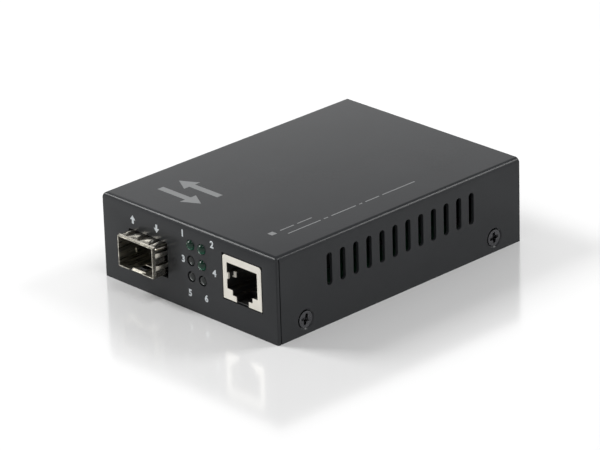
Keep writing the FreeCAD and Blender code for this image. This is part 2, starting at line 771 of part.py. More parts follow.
def cage_floor():
    """Floor of the cage, with the sprung latch tongue at the mouth and ears at the sides."""
    half = cage_width / 2 - cage_sheet - cage_slip
    top = board_top + cage_sheet
    floor = block(cage_x - half, cage_x + half, cage_mouth_y, host_front_y - host_rear_gap,
                  board_top, top)
    slit_in = tongue_width / 2
    slit_out = slit_in + tongue_slit
    slit_end_y = cage_mouth_y + tongue_length
    tip_y = cage_mouth_y + tongue_set_back
    bend_y = tip_y + tongue_lead
    low = board_top - OVER
    high = top + OVER
    tools = [
        block(cage_x - slit_out, cage_x - slit_in, cage_mouth_y - OVER, slit_end_y, low, high),
        block(cage_x + slit_in, cage_x + slit_out, cage_mouth_y - OVER, slit_end_y, low, high),
        block(cage_x - slit_out, cage_x + slit_out, cage_mouth_y - OVER, bend_y, low, high),
        block(cage_x - latch_window / 2, cage_x + latch_window / 2, bend_y + tongue_lead,
              bend_y + tongue_lead + latch_window, low, high),
    ]
    lead_in = prism([Vec(cage_x - slit_in, bend_y, board_top), Vec(cage_x - slit_in, bend_y, top),
                     Vec(cage_x - slit_in, tip_y, top - tongue_dip),
                     Vec(cage_x - slit_in, tip_y, board_top - tongue_dip)], AXIS_X * tongue_width)
    ears = [block(cage_left_x - cage_sheet, cage_right_x + cage_sheet, y - floor_ear_length / 2,
                  y + floor_ear_length / 2, board_top, top) for y in cage_ear_rows()]
    return fuse_all([cut_all(floor, tools), lead_in] + ears)


def spring_finger(finger_width, bulge):
    """One finger, from y = 0 backwards, lying on z = 0 and bulging to the given height."""
    reach = cage_proud - collar_band
    crest = bulge - collar_sheet
    shoulder = reach - cover_sheet / 2
    heel = reach + cover_sheet + cover_sheet / 2
    tail = reach + cover_sheet + finger_tail

    def path(lift):
        """The finger's underside (lift 0) or upper face (lift one sheet), front to rear."""
        return [Vec(0, 0, lift), Vec(0, shoulder * finger_mid_reach, crest * finger_mid_rise + lift),
                Vec(0, shoulder, crest + lift), Vec(0, heel, crest + lift), Vec(0, tail, lift)]

    under = path(0)
    upper = path(collar_sheet)
    edges = [
        Part.Arc(under[0], under[1], under[2]).toShape(),
        Part.LineSegment(under[2], under[3]).toShape(),
        Part.LineSegment(under[3], under[4]).toShape(),
        Part.LineSegment(under[4], upper[4]).toShape(),
        Part.LineSegment(upper[4], upper[3]).toShape(),
        Part.LineSegment(upper[3], upper[2]).toShape(),
        Part.Arc(upper[2], upper[1], upper[0]).toShape(),
        Part.LineSegment(upper[0], under[0]).toShape(),
    ]
    finger = Part.Face(Part.Wire(edges)).extrude(AXIS_X * finger_width)
    finger.translate(Vec(-finger_width / 2, 0, 0))
    return finger


def collar_fingers():
    """The fingers of all four sides, each on the face of the cage that it belongs to."""
    start_y = cage_mouth_y + collar_band
    half = cage_width / 2 - finger_corner
    top_bulge = cutout_top_gap - collar_touch
    side_bulge = cutout_side_gap - collar_touch
    bottom_bulge = cutout_bottom_gap - collar_touch
    top_slits = [-finger_pitch, 0, finger_pitch]
    latch_gap = tongue_width / 2 + tongue_slit
    side_slits = [side_slit_first, side_slit_first + side_slit_pitch]
    fingers = []

    def spans(low, slits, high):
        """Middles and widths of the strips that the slits leave between two ends."""
        starts = [low] + [slit + finger_slit / 2 for slit in slits]
        ends = [slit - finger_slit / 2 for slit in slits] + [high]
        return [((a + b) / 2, b - a) for a, b in zip(starts, ends)]

    for middle, strip in spans(-half, top_slits, half):
        finger = spring_finger(strip, top_bulge)
        finger.translate(Vec(cage_x + middle, start_y, cage_top_z))
        fingers.append(finger)
    for middle, strip in spans(finger_corner, side_slits, cage_height - finger_corner):
        for side in (-1, 1):
            finger = spring_finger(strip, side_bulge)
            finger.rotate(Vec(0, 0, 0), AXIS_Y, side * 90)
            finger.translate(Vec(cage_x + side * cage_width / 2, start_y, cage_top_z - middle))
            fingers.append(finger)
    for side in (-1, 1):
        strip = half - latch_gap
        finger = spring_finger(strip, bottom_bulge)
        finger.rotate(Vec(0, 0, 0), AXIS_Y, 180)
        finger.translate(Vec(cage_x + side * (latch_gap + strip / 2), start_y, board_top))
        fingers.append(finger)
    return fingers


def spring_collar():
    """Band round the cage's mouth, open under the latch, with sprung fingers behind it."""
    sheet = collar_sheet
    band_end = cage_mouth_y + collar_band
    band = block(cage_left_x - sheet, cage_right_x + sheet, cage_mouth_y, band_end,
                 board_top - sheet, cage_top_z + sheet)
    latch_gap = tongue_width / 2 + tongue_slit
    tools = [
        block(cage_left_x, cage_right_x, cage_mouth_y - OVER, band_end + OVER, board_top, cage_top_z),
        block(cage_x - latch_gap, cage_x + latch_gap, cage_mouth_y - OVER, band_end + OVER,
              board_top - 2 * sheet, board_top + sheet),
    ]
    return fuse_all([cut_all(band, tools)] + collar_fingers())


def host_connector():
    """Socket at the far end of the cage that a module's edge contacts push into."""
    body = block(cage_x - host_width / 2, cage_x + host_width / 2, host_front_y, host_rear_y,
                 board_top, board_top + host_height)
    body = chamfer_at(body, host_bevel, dict(y=host_front_y, z=board_top + host_height))
    slot = block(cage_x - host_slot_width / 2, cage_x + host_slot_width / 2, host_front_y - OVER,
                 host_front_y + host_slot_depth, board_top + host_slot_z,
                 board_top + host_slot_z + host_slot_height)
    return body.cut(slot)


def host_contacts():
    """Two rows of flat contacts, on the floor and on the roof of the connector's slot."""
    contacts = []
    slot_bottom = board_top + host_slot_z
    slot_top = slot_bottom + host_slot_height
    for offset in spread(host_contact_count, host_contact_pitch):
        x_from = cage_x + offset - host_contact_width / 2
        for z_from in (slot_bottom, slot_top - host_contact_thickness):
            contacts.append(block(x_from, x_from + host_contact_width,
                                  host_front_y + host_contact_pitch,
                                  host_front_y + host_slot_depth,
                                  z_from, z_from + host_contact_thickness))
    return Part.makeCompound(contacts)


# ---- Copper network jack -------------------------------------------------------------------
def jack_housing():
    """Moulded housing with the stepped opening of a network plug, latch side down."""
    half = jack_width / 2
    body = block(jack_x - half, jack_x + half, jack_face_y, jack_rear_y, board_top, jack_top_z)
    body = chamfer_at(body, jack_chamfer, dict(x=jack_x - half, z=jack_top_z),
                      dict(x=jack_x + half, z=jack_top_z))
    bay_end_y = jack_face_y + bay_depth
    step_low = bay_bottom_z - latch_step_height
    out_y = jack_face_y - OVER

    def opening(open_width, y_to, z_from, z_to):
        return block(jack_x - open_width / 2, jack_x + open_width / 2, out_y, y_to, z_from, z_to)

    tools = [
        opening(bay_width, bay_end_y, bay_bottom_z, bay_top_z),
        opening(latch_step_width, bay_end_y, step_low, bay_bottom_z + NEAR),
        opening(latch_slot_width, jack_face_y + latch_slot_depth, board_top - OVER, step_low + NEAR),
        block(jack_x - bay_width / 2, jack_x + bay_width / 2, bay_end_y - OVER, jack_rear_y + OVER,
              board_top + carrier_floor, bay_top_z),
        block(jack_x - bay_width / 2, jack_x + bay_width / 2, carrier_rear_y, jack_rear_y + OVER,
              board_top - OVER, board_top + carrier_floor + OVER),
    ]
    body = cut_all(body, tools)
    added = []
    nub_y = jack_face_y + bay_nub_set_back
    for side in (-1, 1):
        low, high = sorted((side * (bay_width / 2 - bay_nub), side * (bay_width / 2 + bay_nub)))
        added.append(block(jack_x + low, jack_x + high, nub_y, nub_y + bay_nub_length,
                           board_top + bay_nub_z, board_top + bay_nub_z + bay_nub_height))
    added += [bar(peg_radius, Vec(x, y, tail_z), AXIS_Z, board_top - tail_z)
              for x, y in jack_peg_spots()]
    return fuse_all([body] + added)


def jack_carrier():
    """Block at the back of the jack that holds the contact wires in line."""
    half = bay_width / 2 - carrier_gap
    return block(jack_x - half, jack_x + half, carrier_rear_y - carrier_depth, carrier_rear_y,
                 board_top + carrier_floor, wire_run_z - wire_size / 2 - seat_gap)


def jack_contacts():
    """Eight bent wires: up behind the carrier, forward under the roof, then back and down."""
    bend_y = jack_face_y + wire_front_gap
    wires = []
    for x, tail_y in wire_tails():
        route = [(tail_y, tail_z), (tail_y, wire_run_z), (bend_y, wire_run_z),
                 (bend_y + wire_free_length, wire_run_z - wire_drop)]
        wires.append(bent_wire(route, wire_size, x))
    return Part.makeCompound(wires)


# ---- Indicator lamps -----------------------------------------------------------------------
def lamp(column, row, x, z):
    """A round-nosed lamp: dome, barrel and flange turned about its axis."""
    tip_y = lamp_tip_y(column, row)
    dome = []
    for index in range(1, lamp_dome_steps + 1):
        angle = math.pi / 2 * index / lamp_dome_steps
        dome.append((lamp_radius * math.sin(angle), lamp_radius * (1 - math.cos(angle))))
    collar = lamp_length - lamp_flange
    profile = [(lamp_radius * lamp_nose, 0)] + dome
    profile += [(lamp_radius, collar), (lamp_flange_radius, collar), (lamp_flange_radius, lamp_length)]
    return turned(profile, lamp_sides, Vec(x, tip_y, z), AXIS_Y)


def lamp_holder(column):
    """Upright block on the board with a stepped bore for each of a column's three lamps."""
    middle = lamp_left_x + column * lamp_pitch_x
    holder = block(middle - holder_width / 2, middle + holder_width / 2, holder_front_y,
                   holder_rear_y, board_top, lamp_top_z + holder_top_wall)
    tools = []
    for place_column, row, x, z in lamp_places():
        if place_column != column:
            continue
        seat_y = lamp_tip_y(column, row) + lamp_length - lamp_flange
        tools.append(hole(lamp_radius + lamp_bore_gap, Vec(x, holder_front_y - OVER, z), AXIS_Y,
                          holder_depth + 2 * OVER))
        tools.append(hole(lamp_flange_radius + lamp_bore_gap, Vec(x, seat_y, z), AXIS_Y,
                          holder_rear_y + OVER - seat_y))
    return cut_all(holder, tools)


def lamp_leads():
    """Two bent leads for each lamp, back out of the holder and down through the board."""
    leads = []
    for column, row, x, z in lamp_places():
        back_y = lamp_tip_y(column, row) + lamp_length
        y = lead_row_y(row)
        for side in (-1, 1):
            leads.append(bent_wire([(back_y, z), (y, z), (y, tail_z)], lead_size,
                                   x + side * lead_spacing / 2))
    return Part.makeCompound(leads)


# ---- Power inlet ---------------------------------------------------------------------------
def inlet_body():
    """Barrel-plug socket: a square face block and an arched body with the round mouth."""
    half = inlet_width / 2
    step_y = inlet_face_y - inlet_flange
    arch_top = inlet_axis + half
    face = block(inlet_x - half, inlet_x + half, step_y, inlet_face_y, board_top,
                 board_top + inlet_height)
    lower = block(inlet_x - half, inlet_x + half, inlet_front_y, step_y, board_top, inlet_axis)
    arch = rod(half, Vec(inlet_x, inlet_front_y, inlet_axis), AXIS_Y, step_y - inlet_front_y)
    arch = arch.common(block(inlet_x - half, inlet_x + half, inlet_front_y, step_y, inlet_axis - NEAR,
                             arch_top + OVER))
    body = fuse_all([face, lower, arch])
    mouth = hole(inlet_mouth_radius, Vec(inlet_x, inlet_mouth_end_y, inlet_axis), AXIS_Y,
                 inlet_mouth_depth + OVER, inlet_mouth_sides)
    root = hole(inlet_pin_radius + inlet_pin_gap,
                Vec(inlet_x, inlet_mouth_end_y - inlet_pin_root, inlet_axis), AXIS_Y,
                inlet_pin_root + OVER, FINE_SIDES)
    tools = [mouth, root]
    for x_from, x_to, y_from, y_to in inlet_terminals():
        tools.append(block(x_from - pin_gap, x_to + pin_gap, y_from - pin_gap, y_to + pin_gap,
                           board_top - OVER, inlet_axis - inlet_mouth_radius / 2))
    spring_half = inlet_spring_width / 2 + pin_gap
    tools.append(block(inlet_x - spring_half, inlet_x + spring_half,
                       inlet_terminals()[1][2] - pin_gap, inlet_face_y - inlet_spring_set_back,
                       inlet_axis - inlet_mouth_radius - inlet_spring_sheet - pin_gap, inlet_axis))
    return cut_all(body, tools)


def inlet_pin():
    """Round centre pin of the inlet, with a bevelled tip."""
    start = Vec(inlet_x, inlet_mouth_end_y - inlet_pin_root + inlet_pin_gap, inlet_axis)
    length = inlet_pin_root + inlet_pin_length
    profile = [(inlet_pin_radius, 0), (inlet_pin_radius, length - inlet_pin_bevel),
               (inlet_pin_radius - inlet_pin_bevel, length)]
    return turned(profile, FINE_SIDES, start, AXIS_Y)


def inlet_contacts():
    """The two terminals: one meets the pin's root, one carries the spring for the sleeve."""
    rear, side = inlet_terminals()
    rear_leaf = block(rear[0], rear[1], rear[2], rear[3], tail_z,
                      inlet_axis - inlet_mouth_radius / 2 - pin_gap)
    leaf_top = inlet_axis - inlet_mouth_radius - pin_gap / 2
    side_leaf = block(side[0], side[1], side[2], side[3], tail_z, leaf_top)
    spring_end_y = inlet_face_y - inlet_spring_set_back - pin_gap
    crest = inlet_spring_rise
    spring = prism([Vec(side[0], side[2], leaf_top - inlet_spring_sheet),
                    Vec(side[0], side[2], leaf_top),
                    Vec(side[0], (side[2] + spring_end_y) / 2, leaf_top + crest),
                    Vec(side[0], spring_end_y, leaf_top),
                    Vec(side[0], spring_end_y, leaf_top - inlet_spring_sheet),
                    Vec(side[0], (side[2] + spring_end_y) / 2, leaf_top + crest - inlet_spring_sheet)],
                   AXIS_X * inlet_spring_width)
    return Part.makeCompound([rear_leaf, fuse_all([side_leaf, spring])])


# ---- Parts on the board --------------------------------------------------------------------
def on_board(shape, x, y):
    """Stand a package, drawn about its own middle, on the board."""
    shape.translate(Vec(x, y, board_top))
    return shape


def converter_chip():
    """Flat square chip with bevelled upper edges and a dot at its first pin."""
    half = chip_side / 2
    body = block(-half, half, -half, half, 0, chip_height)
    body = chamfer_at(body, chip_bevel, dict(x=-half, z=chip_height), dict(x=half, z=chip_height),
                      dict(y=-half, z=chip_height), dict(y=half, z=chip_height))
    corner = chip_dot_inset - half
    dot = hole(chip_dot_radius, Vec(corner, corner, chip_height - chip_dot_depth), AXIS_Z, OVER)
    return on_board(body.cut(dot), chip_x, chip_y)


def config_memory():
    """Small chip with four bent feet on each long side."""
    body = block(-memory_length / 2, memory_length / 2, -memory_width / 2, memory_width / 2,
                 foot_sheet, memory_height)
    feet = gull_feet(memory_width, memory_feet, memory_foot_pitch, memory_foot_width)
    return on_board(fuse_all([body] + feet), memory_x, memory_y)


def isolation_magnetics():
    """Block of signal transformers between the network jack and the chip."""
    body = block(-magnetics_length / 2, magnetics_length / 2, -magnetics_width / 2,
                 magnetics_width / 2, foot_sheet, magnetics_height)
    feet = gull_feet(magnetics_width, magnetics_feet, magnetics_foot_pitch, magnetics_foot_width)
    return on_board(fuse_all([body] + feet), magnetics_x, magnetics_y)


def clock_crystal():
    """Low round-ended metal can of the clock crystal on its base plate."""
    half = crystal_length / 2 - crystal_width / 2

    def oval(radius, z_from, z_to):
        """An upright round-ended block."""
        ends = [bar(radius, Vec(side * half, 0, z_from), AXIS_Z, z_to - z_from, crystal_sides)
                for side in (-1, 1)]
        flat = radius * math.cos(math.pi / crystal_sides)
        return fuse_all([block(-half, half, -flat, flat, z_from, z_to)] + ends)

    base = oval(crystal_width / 2, 0, crystal_plate)
    can = oval(crystal_width / 2 - crystal_rim, crystal_plate, crystal_height)
    return on_board(fuse_all([base, can]), chip_x, crystal_y)


def power_inductor():
    """Square shielded coil with a round core that shows in its top."""
    half = inductor_side / 2
    body = block(-half, half, -half, half, 0, inductor_height)
    corners = [dict(x=x, y=y) for x in (-half, half) for y in (-half, half)]
    body = chamfer_at(body, inductor_corner, *corners)
    groove = hole(inductor_core_radius + inductor_groove,
                  Vec(0, 0, inductor_height - inductor_groove_depth), AXIS_Z, inductor_height)
    core = bar(inductor_core_radius, Vec(0, 0, 0), AXIS_Z, inductor_height - inductor_core_sunk)
    return on_board(fuse_all([body.cut(groove), core]), inductor_x, inductor_y)


def filter_capacitors():
    """Two upright capacitor cans, each on its square plastic base."""
    cans = []
    half = can_base / 2
    for x, y in ((inlet_x, can_y), (rear_can_x, inductor_y)):
        profile = [(can_radius, 0), (can_radius, can_height - can_chamfer),
                   (can_radius - can_chamfer, can_height)]
        can = turned(profile, FINE_SIDES, Vec(0, 0, 0), AXIS_Z)
        base = block(-half, half, -half, half, 0, can_base_height)
        base = chamfer_at(base, can_base_corner, dict(x=half, y=-half), dict(x=half, y=half))
        cans.append(on_board(fuse_all([base, can]), x, y))
    return Part.makeCompound(cans)


def voltage_regulator():
    """Power chip with a wide tab on one side and three feet on the other."""
    half_x = regulator_length / 2
    half_y = regulator_width / 2
    body = block(-half_x, half_x, -half_y, half_y, foot_sheet, regulator_height)
    tab_half = regulator_tab_width / 2
    tab = block(-tab_half, tab_half, 0, half_y + foot_reach, 0, foot_sheet + NEAR)
    foot_half = regulator_foot_width / 2
    feet = [block(offset - foot_half, offset + foot_half, -half_y - foot_reach, 0, 0,
                  foot_sheet + NEAR) for offset in spread(regulator_feet, regulator_foot_pitch)]
    return on_board(fuse_all([body, tab] + feet), regulator_x, can_y)


def input_diode():
    """Protection diode behind the inlet, with a tab folded under each end."""
    half_x = diode_length / 2
    half_y = diode_width / 2
    body = block(-half_x, half_x, -half_y, half_y, foot_sheet, diode_height)
    body = chamfer_at(body, diode_bevel, dict(x=-half_x, z=diode_height),
                      dict(x=half_x, z=diode_height))
    tabs = [block(side * half_x - diode_tab_reach, side * half_x + diode_tab_reach,
                  -diode_tab_width / 2, diode_tab_width / 2, 0, foot_sheet + NEAR)
            for side in (-1, 1)]
    return on_board(fuse_all([body] + tabs), inlet_x, diode_y)


def small_block(x, y):
    """One chip resistor or chip capacitor, long way along Y."""
    return on_board(block(-small_width / 2, small_width / 2, -small_length / 2, small_length / 2,
                          0, small_height), x, y)


def chip_resistors():
    """One series resistor for each lamp, in a row behind the lamp leads."""
    y = lead_row_y(0) + resistor_set_back
    return Part.makeCompound([small_block(resistor_row_x + offset, y)
                              for offset in spread(lamp_columns * lamp_rows, resistor_pitch)])


def chip_capacitors():
    """Decoupling capacitors along two sides of the main chip."""
    reach = chip_side / 2 + capacitor_gap + small_length / 2
    return Part.makeCompound([small_block(chip_x + offset, chip_y + side * reach)
                              for side in (-1, 1)
                              for offset in spread(capacitor_count, capacitor_pitch)])


# ---- Output --------------------------------------------------------------------------------
def all_nodes():
    """Every piece of the converter by name."""
    nodes = {
        "top_cover": top_cover(),
        "base_tray": base_tray(),
        "cover_screws": cover_screws(),
        "main_board": main_board(),
        "board_standoffs": board_standoffs(),
        "board_screws": board_screws(),
        "module_cage": module_cage(),
        "cage_floor": cage_floor(),
        "spring_collar": spring_collar(),
        "host_connector": host_connector(),
        "host_contacts": host_contacts(),
        "jack_housing": jack_housing(),
        "jack_carrier": jack_carrier(),
        "jack_contacts": jack_contacts(),
        "lamp_holder_left": lamp_holder(0),
        "lamp_holder_right": lamp_holder(1),
        "lamp_leads": lamp_leads(),
        "inlet_body": inlet_body(),
        "inlet_pin": inlet_pin(),
        "inlet_contacts": inlet_contacts(),
        "converter_chip": converter_chip(),
        "config_memory": config_memory(),
        "isolation_magnetics": isolation_magnetics(),
        "clock_crystal": clock_crystal(),
        "power_inductor": power_inductor(),
        "filter_capacitors": filter_capacitors(),
        "voltage_regulator": voltage_regulator(),
        "input_diode": input_diode(),
        "chip_resistors": chip_resistors(),
        "chip_capacitors": chip_capacitors(),
    }
    for number, place in enumerate(lamp_places(), start=1):
        nodes["lamp_%d" % number] = lamp(*place)
    return nodes


os.makedirs("parts", exist_ok=True)
for name, shape in all_nodes().items():
    shape.exportStep("parts/" + name + ".step")
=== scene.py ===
import math

import bmesh
import bpy
from mathutils import Matrix, Vector


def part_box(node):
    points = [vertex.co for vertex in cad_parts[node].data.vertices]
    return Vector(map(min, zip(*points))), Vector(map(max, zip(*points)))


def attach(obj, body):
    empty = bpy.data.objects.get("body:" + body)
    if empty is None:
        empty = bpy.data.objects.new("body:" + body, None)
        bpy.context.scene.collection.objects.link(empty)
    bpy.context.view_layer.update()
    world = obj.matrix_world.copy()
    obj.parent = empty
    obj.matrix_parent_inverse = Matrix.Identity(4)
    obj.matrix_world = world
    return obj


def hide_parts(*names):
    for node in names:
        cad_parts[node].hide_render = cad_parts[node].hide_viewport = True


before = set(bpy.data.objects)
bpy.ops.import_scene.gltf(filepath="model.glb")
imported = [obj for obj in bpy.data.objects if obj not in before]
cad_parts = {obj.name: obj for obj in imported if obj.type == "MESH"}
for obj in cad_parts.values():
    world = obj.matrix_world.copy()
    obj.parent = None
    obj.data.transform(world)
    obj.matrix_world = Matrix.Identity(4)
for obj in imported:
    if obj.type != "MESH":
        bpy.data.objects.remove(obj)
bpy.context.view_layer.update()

bl_info = {
    "name": "Fibre media converter",
    "version": (1, 0, 0),
    "blender": (4, 5, 0),
    "location": "3D View > Sidebar > Converter",
    "description": "Dresses the fibre media converter and sets up its stage",
    "category": "Object",
}

# Everything is in metres, in the frame of the converter: the origin is the middle of the bottom
# face, X runs to the right across the front panel, the front panel faces -Y, and Z is up.
MM = 0.001
BODY = "root"

COVER_LOW, COVER_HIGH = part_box("top_cover")
CAGE_LOW, CAGE_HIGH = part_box("module_cage")
CAGE_X = (CAGE_LOW.x + CAGE_HIGH.x) / 2
JACK_LOW, JACK_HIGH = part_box("jack_housing")
SCREWS_LOW, SCREWS_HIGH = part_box("cover_screws")
BOARD_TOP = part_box("main_board")[1].z
LAMPS = ["lamp_%d" % number for number in range(1, 7)]

WELD = 0.002 * MM                   # points nearer than this are one point
FACING = 0.9                        # part of a normal along an axis that a face looks along
SHARP_FLAT = math.radians(35)       # sharpest edge that is shaded smooth on flat pieces
SHARP_ROUND = math.radians(40)      # and on round ones
ROLLED = (1.0, 0.06, 1.0)           # streaks drawn out along Y
UNROLLED = (1.0, 1.0, 1.0)


# ---- Sizes and colours that a user would change ----
def length(name, description, default):
    """A length in metres, with a default in millimetres."""
    return bpy.props.FloatProperty(name=name, description=description, default=default * MM,
                                   precision=5, unit="LENGTH", subtype="DISTANCE")


def colour(name, description, default):
    """A scene-linear colour."""
    return bpy.props.FloatVectorProperty(name=name, description=description, default=default,
                                         subtype="COLOR", size=3, min=0.0, max=1.0)


def angle(name, description, default):
    """An angle in radians, with a default in degrees."""
    return bpy.props.FloatProperty(name=name, description=description, default=math.radians(default),
                                   subtype="ANGLE")


def level(name, description, default):
    """A plain number from zero up."""
    return bpy.props.FloatProperty(name=name, description=description, default=default, min=0.0)


class ConverterCoverSettings(bpy.types.PropertyGroup):
    sheet: length("Sheet", "Thickness of the folded sheet", 1.0)
    bend: length("Bend", "Outside radius of the bends along the top", 1.5)
    panel_edge: length("Panel edge", "Radius of the front panel's upright ends", 0.35)
    paint_edge: length("Paint edge", "Width of the softened paint on every cut edge", 0.11)
    seam: length("Seam", "Slit behind each end of the front panel", 0.35)
    vent_count: bpy.props.IntProperty(name="Vents", description="Vents on each side", default=12, min=1)
    vent_pitch: length("Vent pitch", "Distance from one vent to the next", 5.15)
    vent_width: length("Vent width", "Width of a vent", 2.1)
    vent_length: length("Vent length", "Length of a vent, end to end", 9.8)
    vent_height: length("Vent height", "Height of the vents' middles", 16.5)
    countersink: length("Countersink", "Radius of a countersink's mouth", 3.05)
    countersink_depth: length("Countersink depth", "From the side's face to the end of the cone", 1.65)
    lamp_hole: length("Lamp hole", "Radius of a lamp's hole", 1.6)
    cage_gap_side: length("Cage gap, sides", "Cut-out to cage, left and right", 0.8)
    cage_gap_top: length("Cage gap, top", "Cut-out to cage, above", 0.4)
    cage_gap_bottom: length("Cage gap, bottom", "Cut-out to cage, below", 1.15)
    cage_corner: length("Cage corner", "Corner radius of the cut-out for the cage", 0.5)
    jack_gap: length("Jack gap", "Cut-out to network jack", 0.35)
    paint: colour("Paint", "Colour of the powder coat", (0.0268, 0.0283, 0.0304))


class ConverterFittingSettings(bpy.types.PropertyGroup):
    head: length("Screw head", "Radius of a cover screw's head", 2.48)
    head_aside: length("Head aside", "How far a head sits off the middle of its countersink", 0.18)
    shank: length("Screw shank", "Radius of a cover screw's shank", 1.45)
    screw_length: length("Screw length", "Head and shank together", 5.0)
    cross_span: length("Cross span", "Cross recess from tip to tip", 4.3)
    cross_width: length("Cross width", "Width of the recess's wings", 1.25)
    cross_depth: length("Cross depth", "Depth of the recess", 1.0)
    cross_turn: angle("Cross turn", "From one screw's cross to the next", 24)
    lamp: length("Lamp", "Radius of a lamp", 1.55)
    lamp_flange: length("Lamp flange", "Radius of the flange at a lamp's back", 1.9)
    lamp_collar: length("Lamp collar", "Thickness of that flange", 1.0)
    lens_recess: length("Sunk lens", "Radius of the lenses that end inside their holes", 1.25)
    lamp_colour: colour("Lamp colour", "Dyed resin of the lamps", (0.0030, 0.050, 0.026))
    smoke_colour: colour("Sunk lens colour", "Smoked resin of the sunk lenses", (0.010, 0.014, 0.0125))
    jack_colour: colour("Jack colour", "Moulded housing of the network jack", (0.80, 0.77, 0.69))
    nickel: colour("Nickel", "Plated sheet of the module cage", (0.60, 0.575, 0.50))
    collar_nickel: colour("Collar", "Plated spring steel of the collar", (0.55, 0.525, 0.46))
    collar_sheet: length("Collar sheet", "Thickness of the spring collar", 0.15)
    collar_band: length("Collar band", "Solid band behind the cage's mouth", 1.0)
    finger_slit: length("Finger slit", "Slit between two fingers", 0.55)
    finger_pitch: length("Finger pitch", "Slits along the top of the collar", 4.7)
    side_slit: length("First side slit", "Below the top of the cage", 1.6)
    side_pitch: length("Side slit pitch", "From the first side slit to the second", 3.8)
    finger_hump: length("Finger hump", "Least swell of a finger in front of the panel", 0.5)
    finger_tail: length("Finger tail", "Length of a finger behind the panel", 2.4)
    latch_lip: length("Latch lip", "Width of the bent lip at the mouth's floor", 4.0)
    tongue: length("Latch tongue", "Width of the tongue in the cage's floor", 5.2)


class ConverterPrintSettings(bpy.types.PropertyGroup):
    figure: length("Figure height", "Height of the printed figures", 2.2)
    ink: length("Ink", "Height of the print above the paint", 0.01)
    front_ink: colour("Front print", "Colour of the print on the front panel", (0.60, 0.64, 0.66))
    top_ink: colour("Top print", "Colour of the print on the top", (0.205, 0.21, 0.213))


class ConverterStageSettings(bpy.types.PropertyGroup):
    azimuth: angle("Azimuth", "Camera's turn to the right of the front", 46.447)
    elevation: angle("Elevation", "Camera's height above the horizon", 23.253)
    roll: angle("Roll", "Camera's turn about its own axis", -1.753)
    distance: length("Distance", "Camera to the point that it looks at", 1091.8)
    focal_length: level("Lens", "Focal length in millimetres", 228.95)
    aside: length("Aside", "Look-at point to the right of the middle", -3.738)
    above: length("Above", "Look-at point above the middle", -2.467)
    floor: colour("Floor", "Colour of the floor", (0.93, 0.93, 0.93))
    ambient: level("Ambient", "Strength of the light from all round", 0.45)
    ceiling: level("Ceiling", "Strength of the ceiling in reflections", 0.3)
    ceiling_low: angle("Ceiling from", "Height above the horizon", 31)
    softbox: level("Softboxes", "Power of the main softbox in watts", 6.0)


# ---- Modelling helpers ----
def deselect_all():
    """Leave edit mode and select nothing."""
    if bpy.context.mode != "OBJECT":
        bpy.ops.object.mode_set(mode="OBJECT")
    bpy.ops.object.select_all(action="DESELECT")


def make_active(piece):
    """Select one piece alone."""
    deselect_all()
    piece.select_set(True)
    bpy.context.view_layer.objects.active = piece


def settle(name=None):
    """Bake the active object's place into its mesh and name it."""
    piece = bpy.context.active_object
    bpy.ops.object.transform_apply(location=True, rotation=True, scale=True)
    if name:
        piece.name = piece.data.name = name
    return piece


def add_box(low, high, name=None):
    """A box between two corners."""
    deselect_all()
    low, high = Vector(low), Vector(high)
    bpy.ops.mesh.primitive_cube_add(size=1, location=(low + high) / 2, scale=high - low)
    return settle(name)


def add_rod(radius, start, end, sides=48, end_radius=None, half_step=False, name=None):
    """A round or tapered rod from one point to another."""
    deselect_all()
    start, end = Vector(start), Vector(end)
    along = end - start
    turn = along.to_track_quat("Z", "Y")
    if half_step:
        turn = turn @ Matrix.Rotation(math.pi / sides, 3, "Z").to_quaternion()
    bpy.ops.mesh.primitive_cone_add(vertices=sides, radius1=radius,
                                    radius2=radius if end_radius is None else end_radius,
                                    depth=along.length, location=(start + end) / 2,
                                    rotation=turn.to_euler())
    return settle(name)


def pick(piece, mode, test):
    """Enter edit mode with only the vertices, edges or faces that pass a test selected."""
    make_active(piece)
    bpy.ops.object.mode_set(mode="EDIT")
    bpy.ops.mesh.select_mode(type=mode)
    bpy.ops.mesh.select_all(action="DESELECT")
    mesh = bmesh.from_edit_mesh(piece.data)
    items = {"VERT": mesh.verts, "EDGE": mesh.edges, "FACE": mesh.faces}[mode]
    for item in items:
        item.select_set(test(item))
    mesh.select_flush_mode()
    bmesh.update_edit_mesh(piece.data)


def done():
    """Leave edit mode."""
    bpy.ops.object.mode_set(mode="OBJECT")


def spans(edge, axis, least):
    """Whether an edge is longer than a length along X, Y or Z (0, 1 or 2)."""
    return abs(edge.verts[0].co[axis] - edge.verts[1].co[axis]) > least


def duplicate(source):
    """A copy of an object with a mesh of its own."""
    piece = source.copy()
    piece.data = source.data.copy()
    bpy.context.scene.collection.objects.link(piece)
    return piece


def join(pieces):
    """Join several objects into the first."""
    make_active(pieces[0])
    for piece in pieces[1:]:
        piece.select_set(True)
    bpy.ops.object.join()
    return pieces[0]


def apply_modifier(piece, kind, **values):
    """Apply one modifier with the given settings."""
    make_active(piece)
    bpy.ops.object.modifier_add(type=kind)
    modifier = piece.modifiers[-1]
    for name, value in values.items():
        setattr(modifier, name, value)
    bpy.ops.object.modifier_apply(modifier=modifier.name)
    return piece


def combine(piece, cutter, operation="DIFFERENCE"):
    """Cut one closed mesh out of another, or join the two, and drop the tool."""
    apply_modifier(piece, "BOOLEAN", operation=operation, solver="EXACT", object=cutter)
    bpy.data.objects.remove(cutter)
    return piece


def merge(piece, distance=WELD):
    """Merge doubled points and drop edges inside flat faces."""
    pick(piece, "VERT", lambda vertex: True)
    bpy.ops.mesh.remove_doubles(threshold=distance)
    bpy.ops.mesh.dissolve_limited(angle_limit=math.radians(0.5))
    bpy.ops.mesh.select_all(action="SELECT")
    bpy.ops.mesh.normals_make_consistent(inside=False)
    done()
    return piece


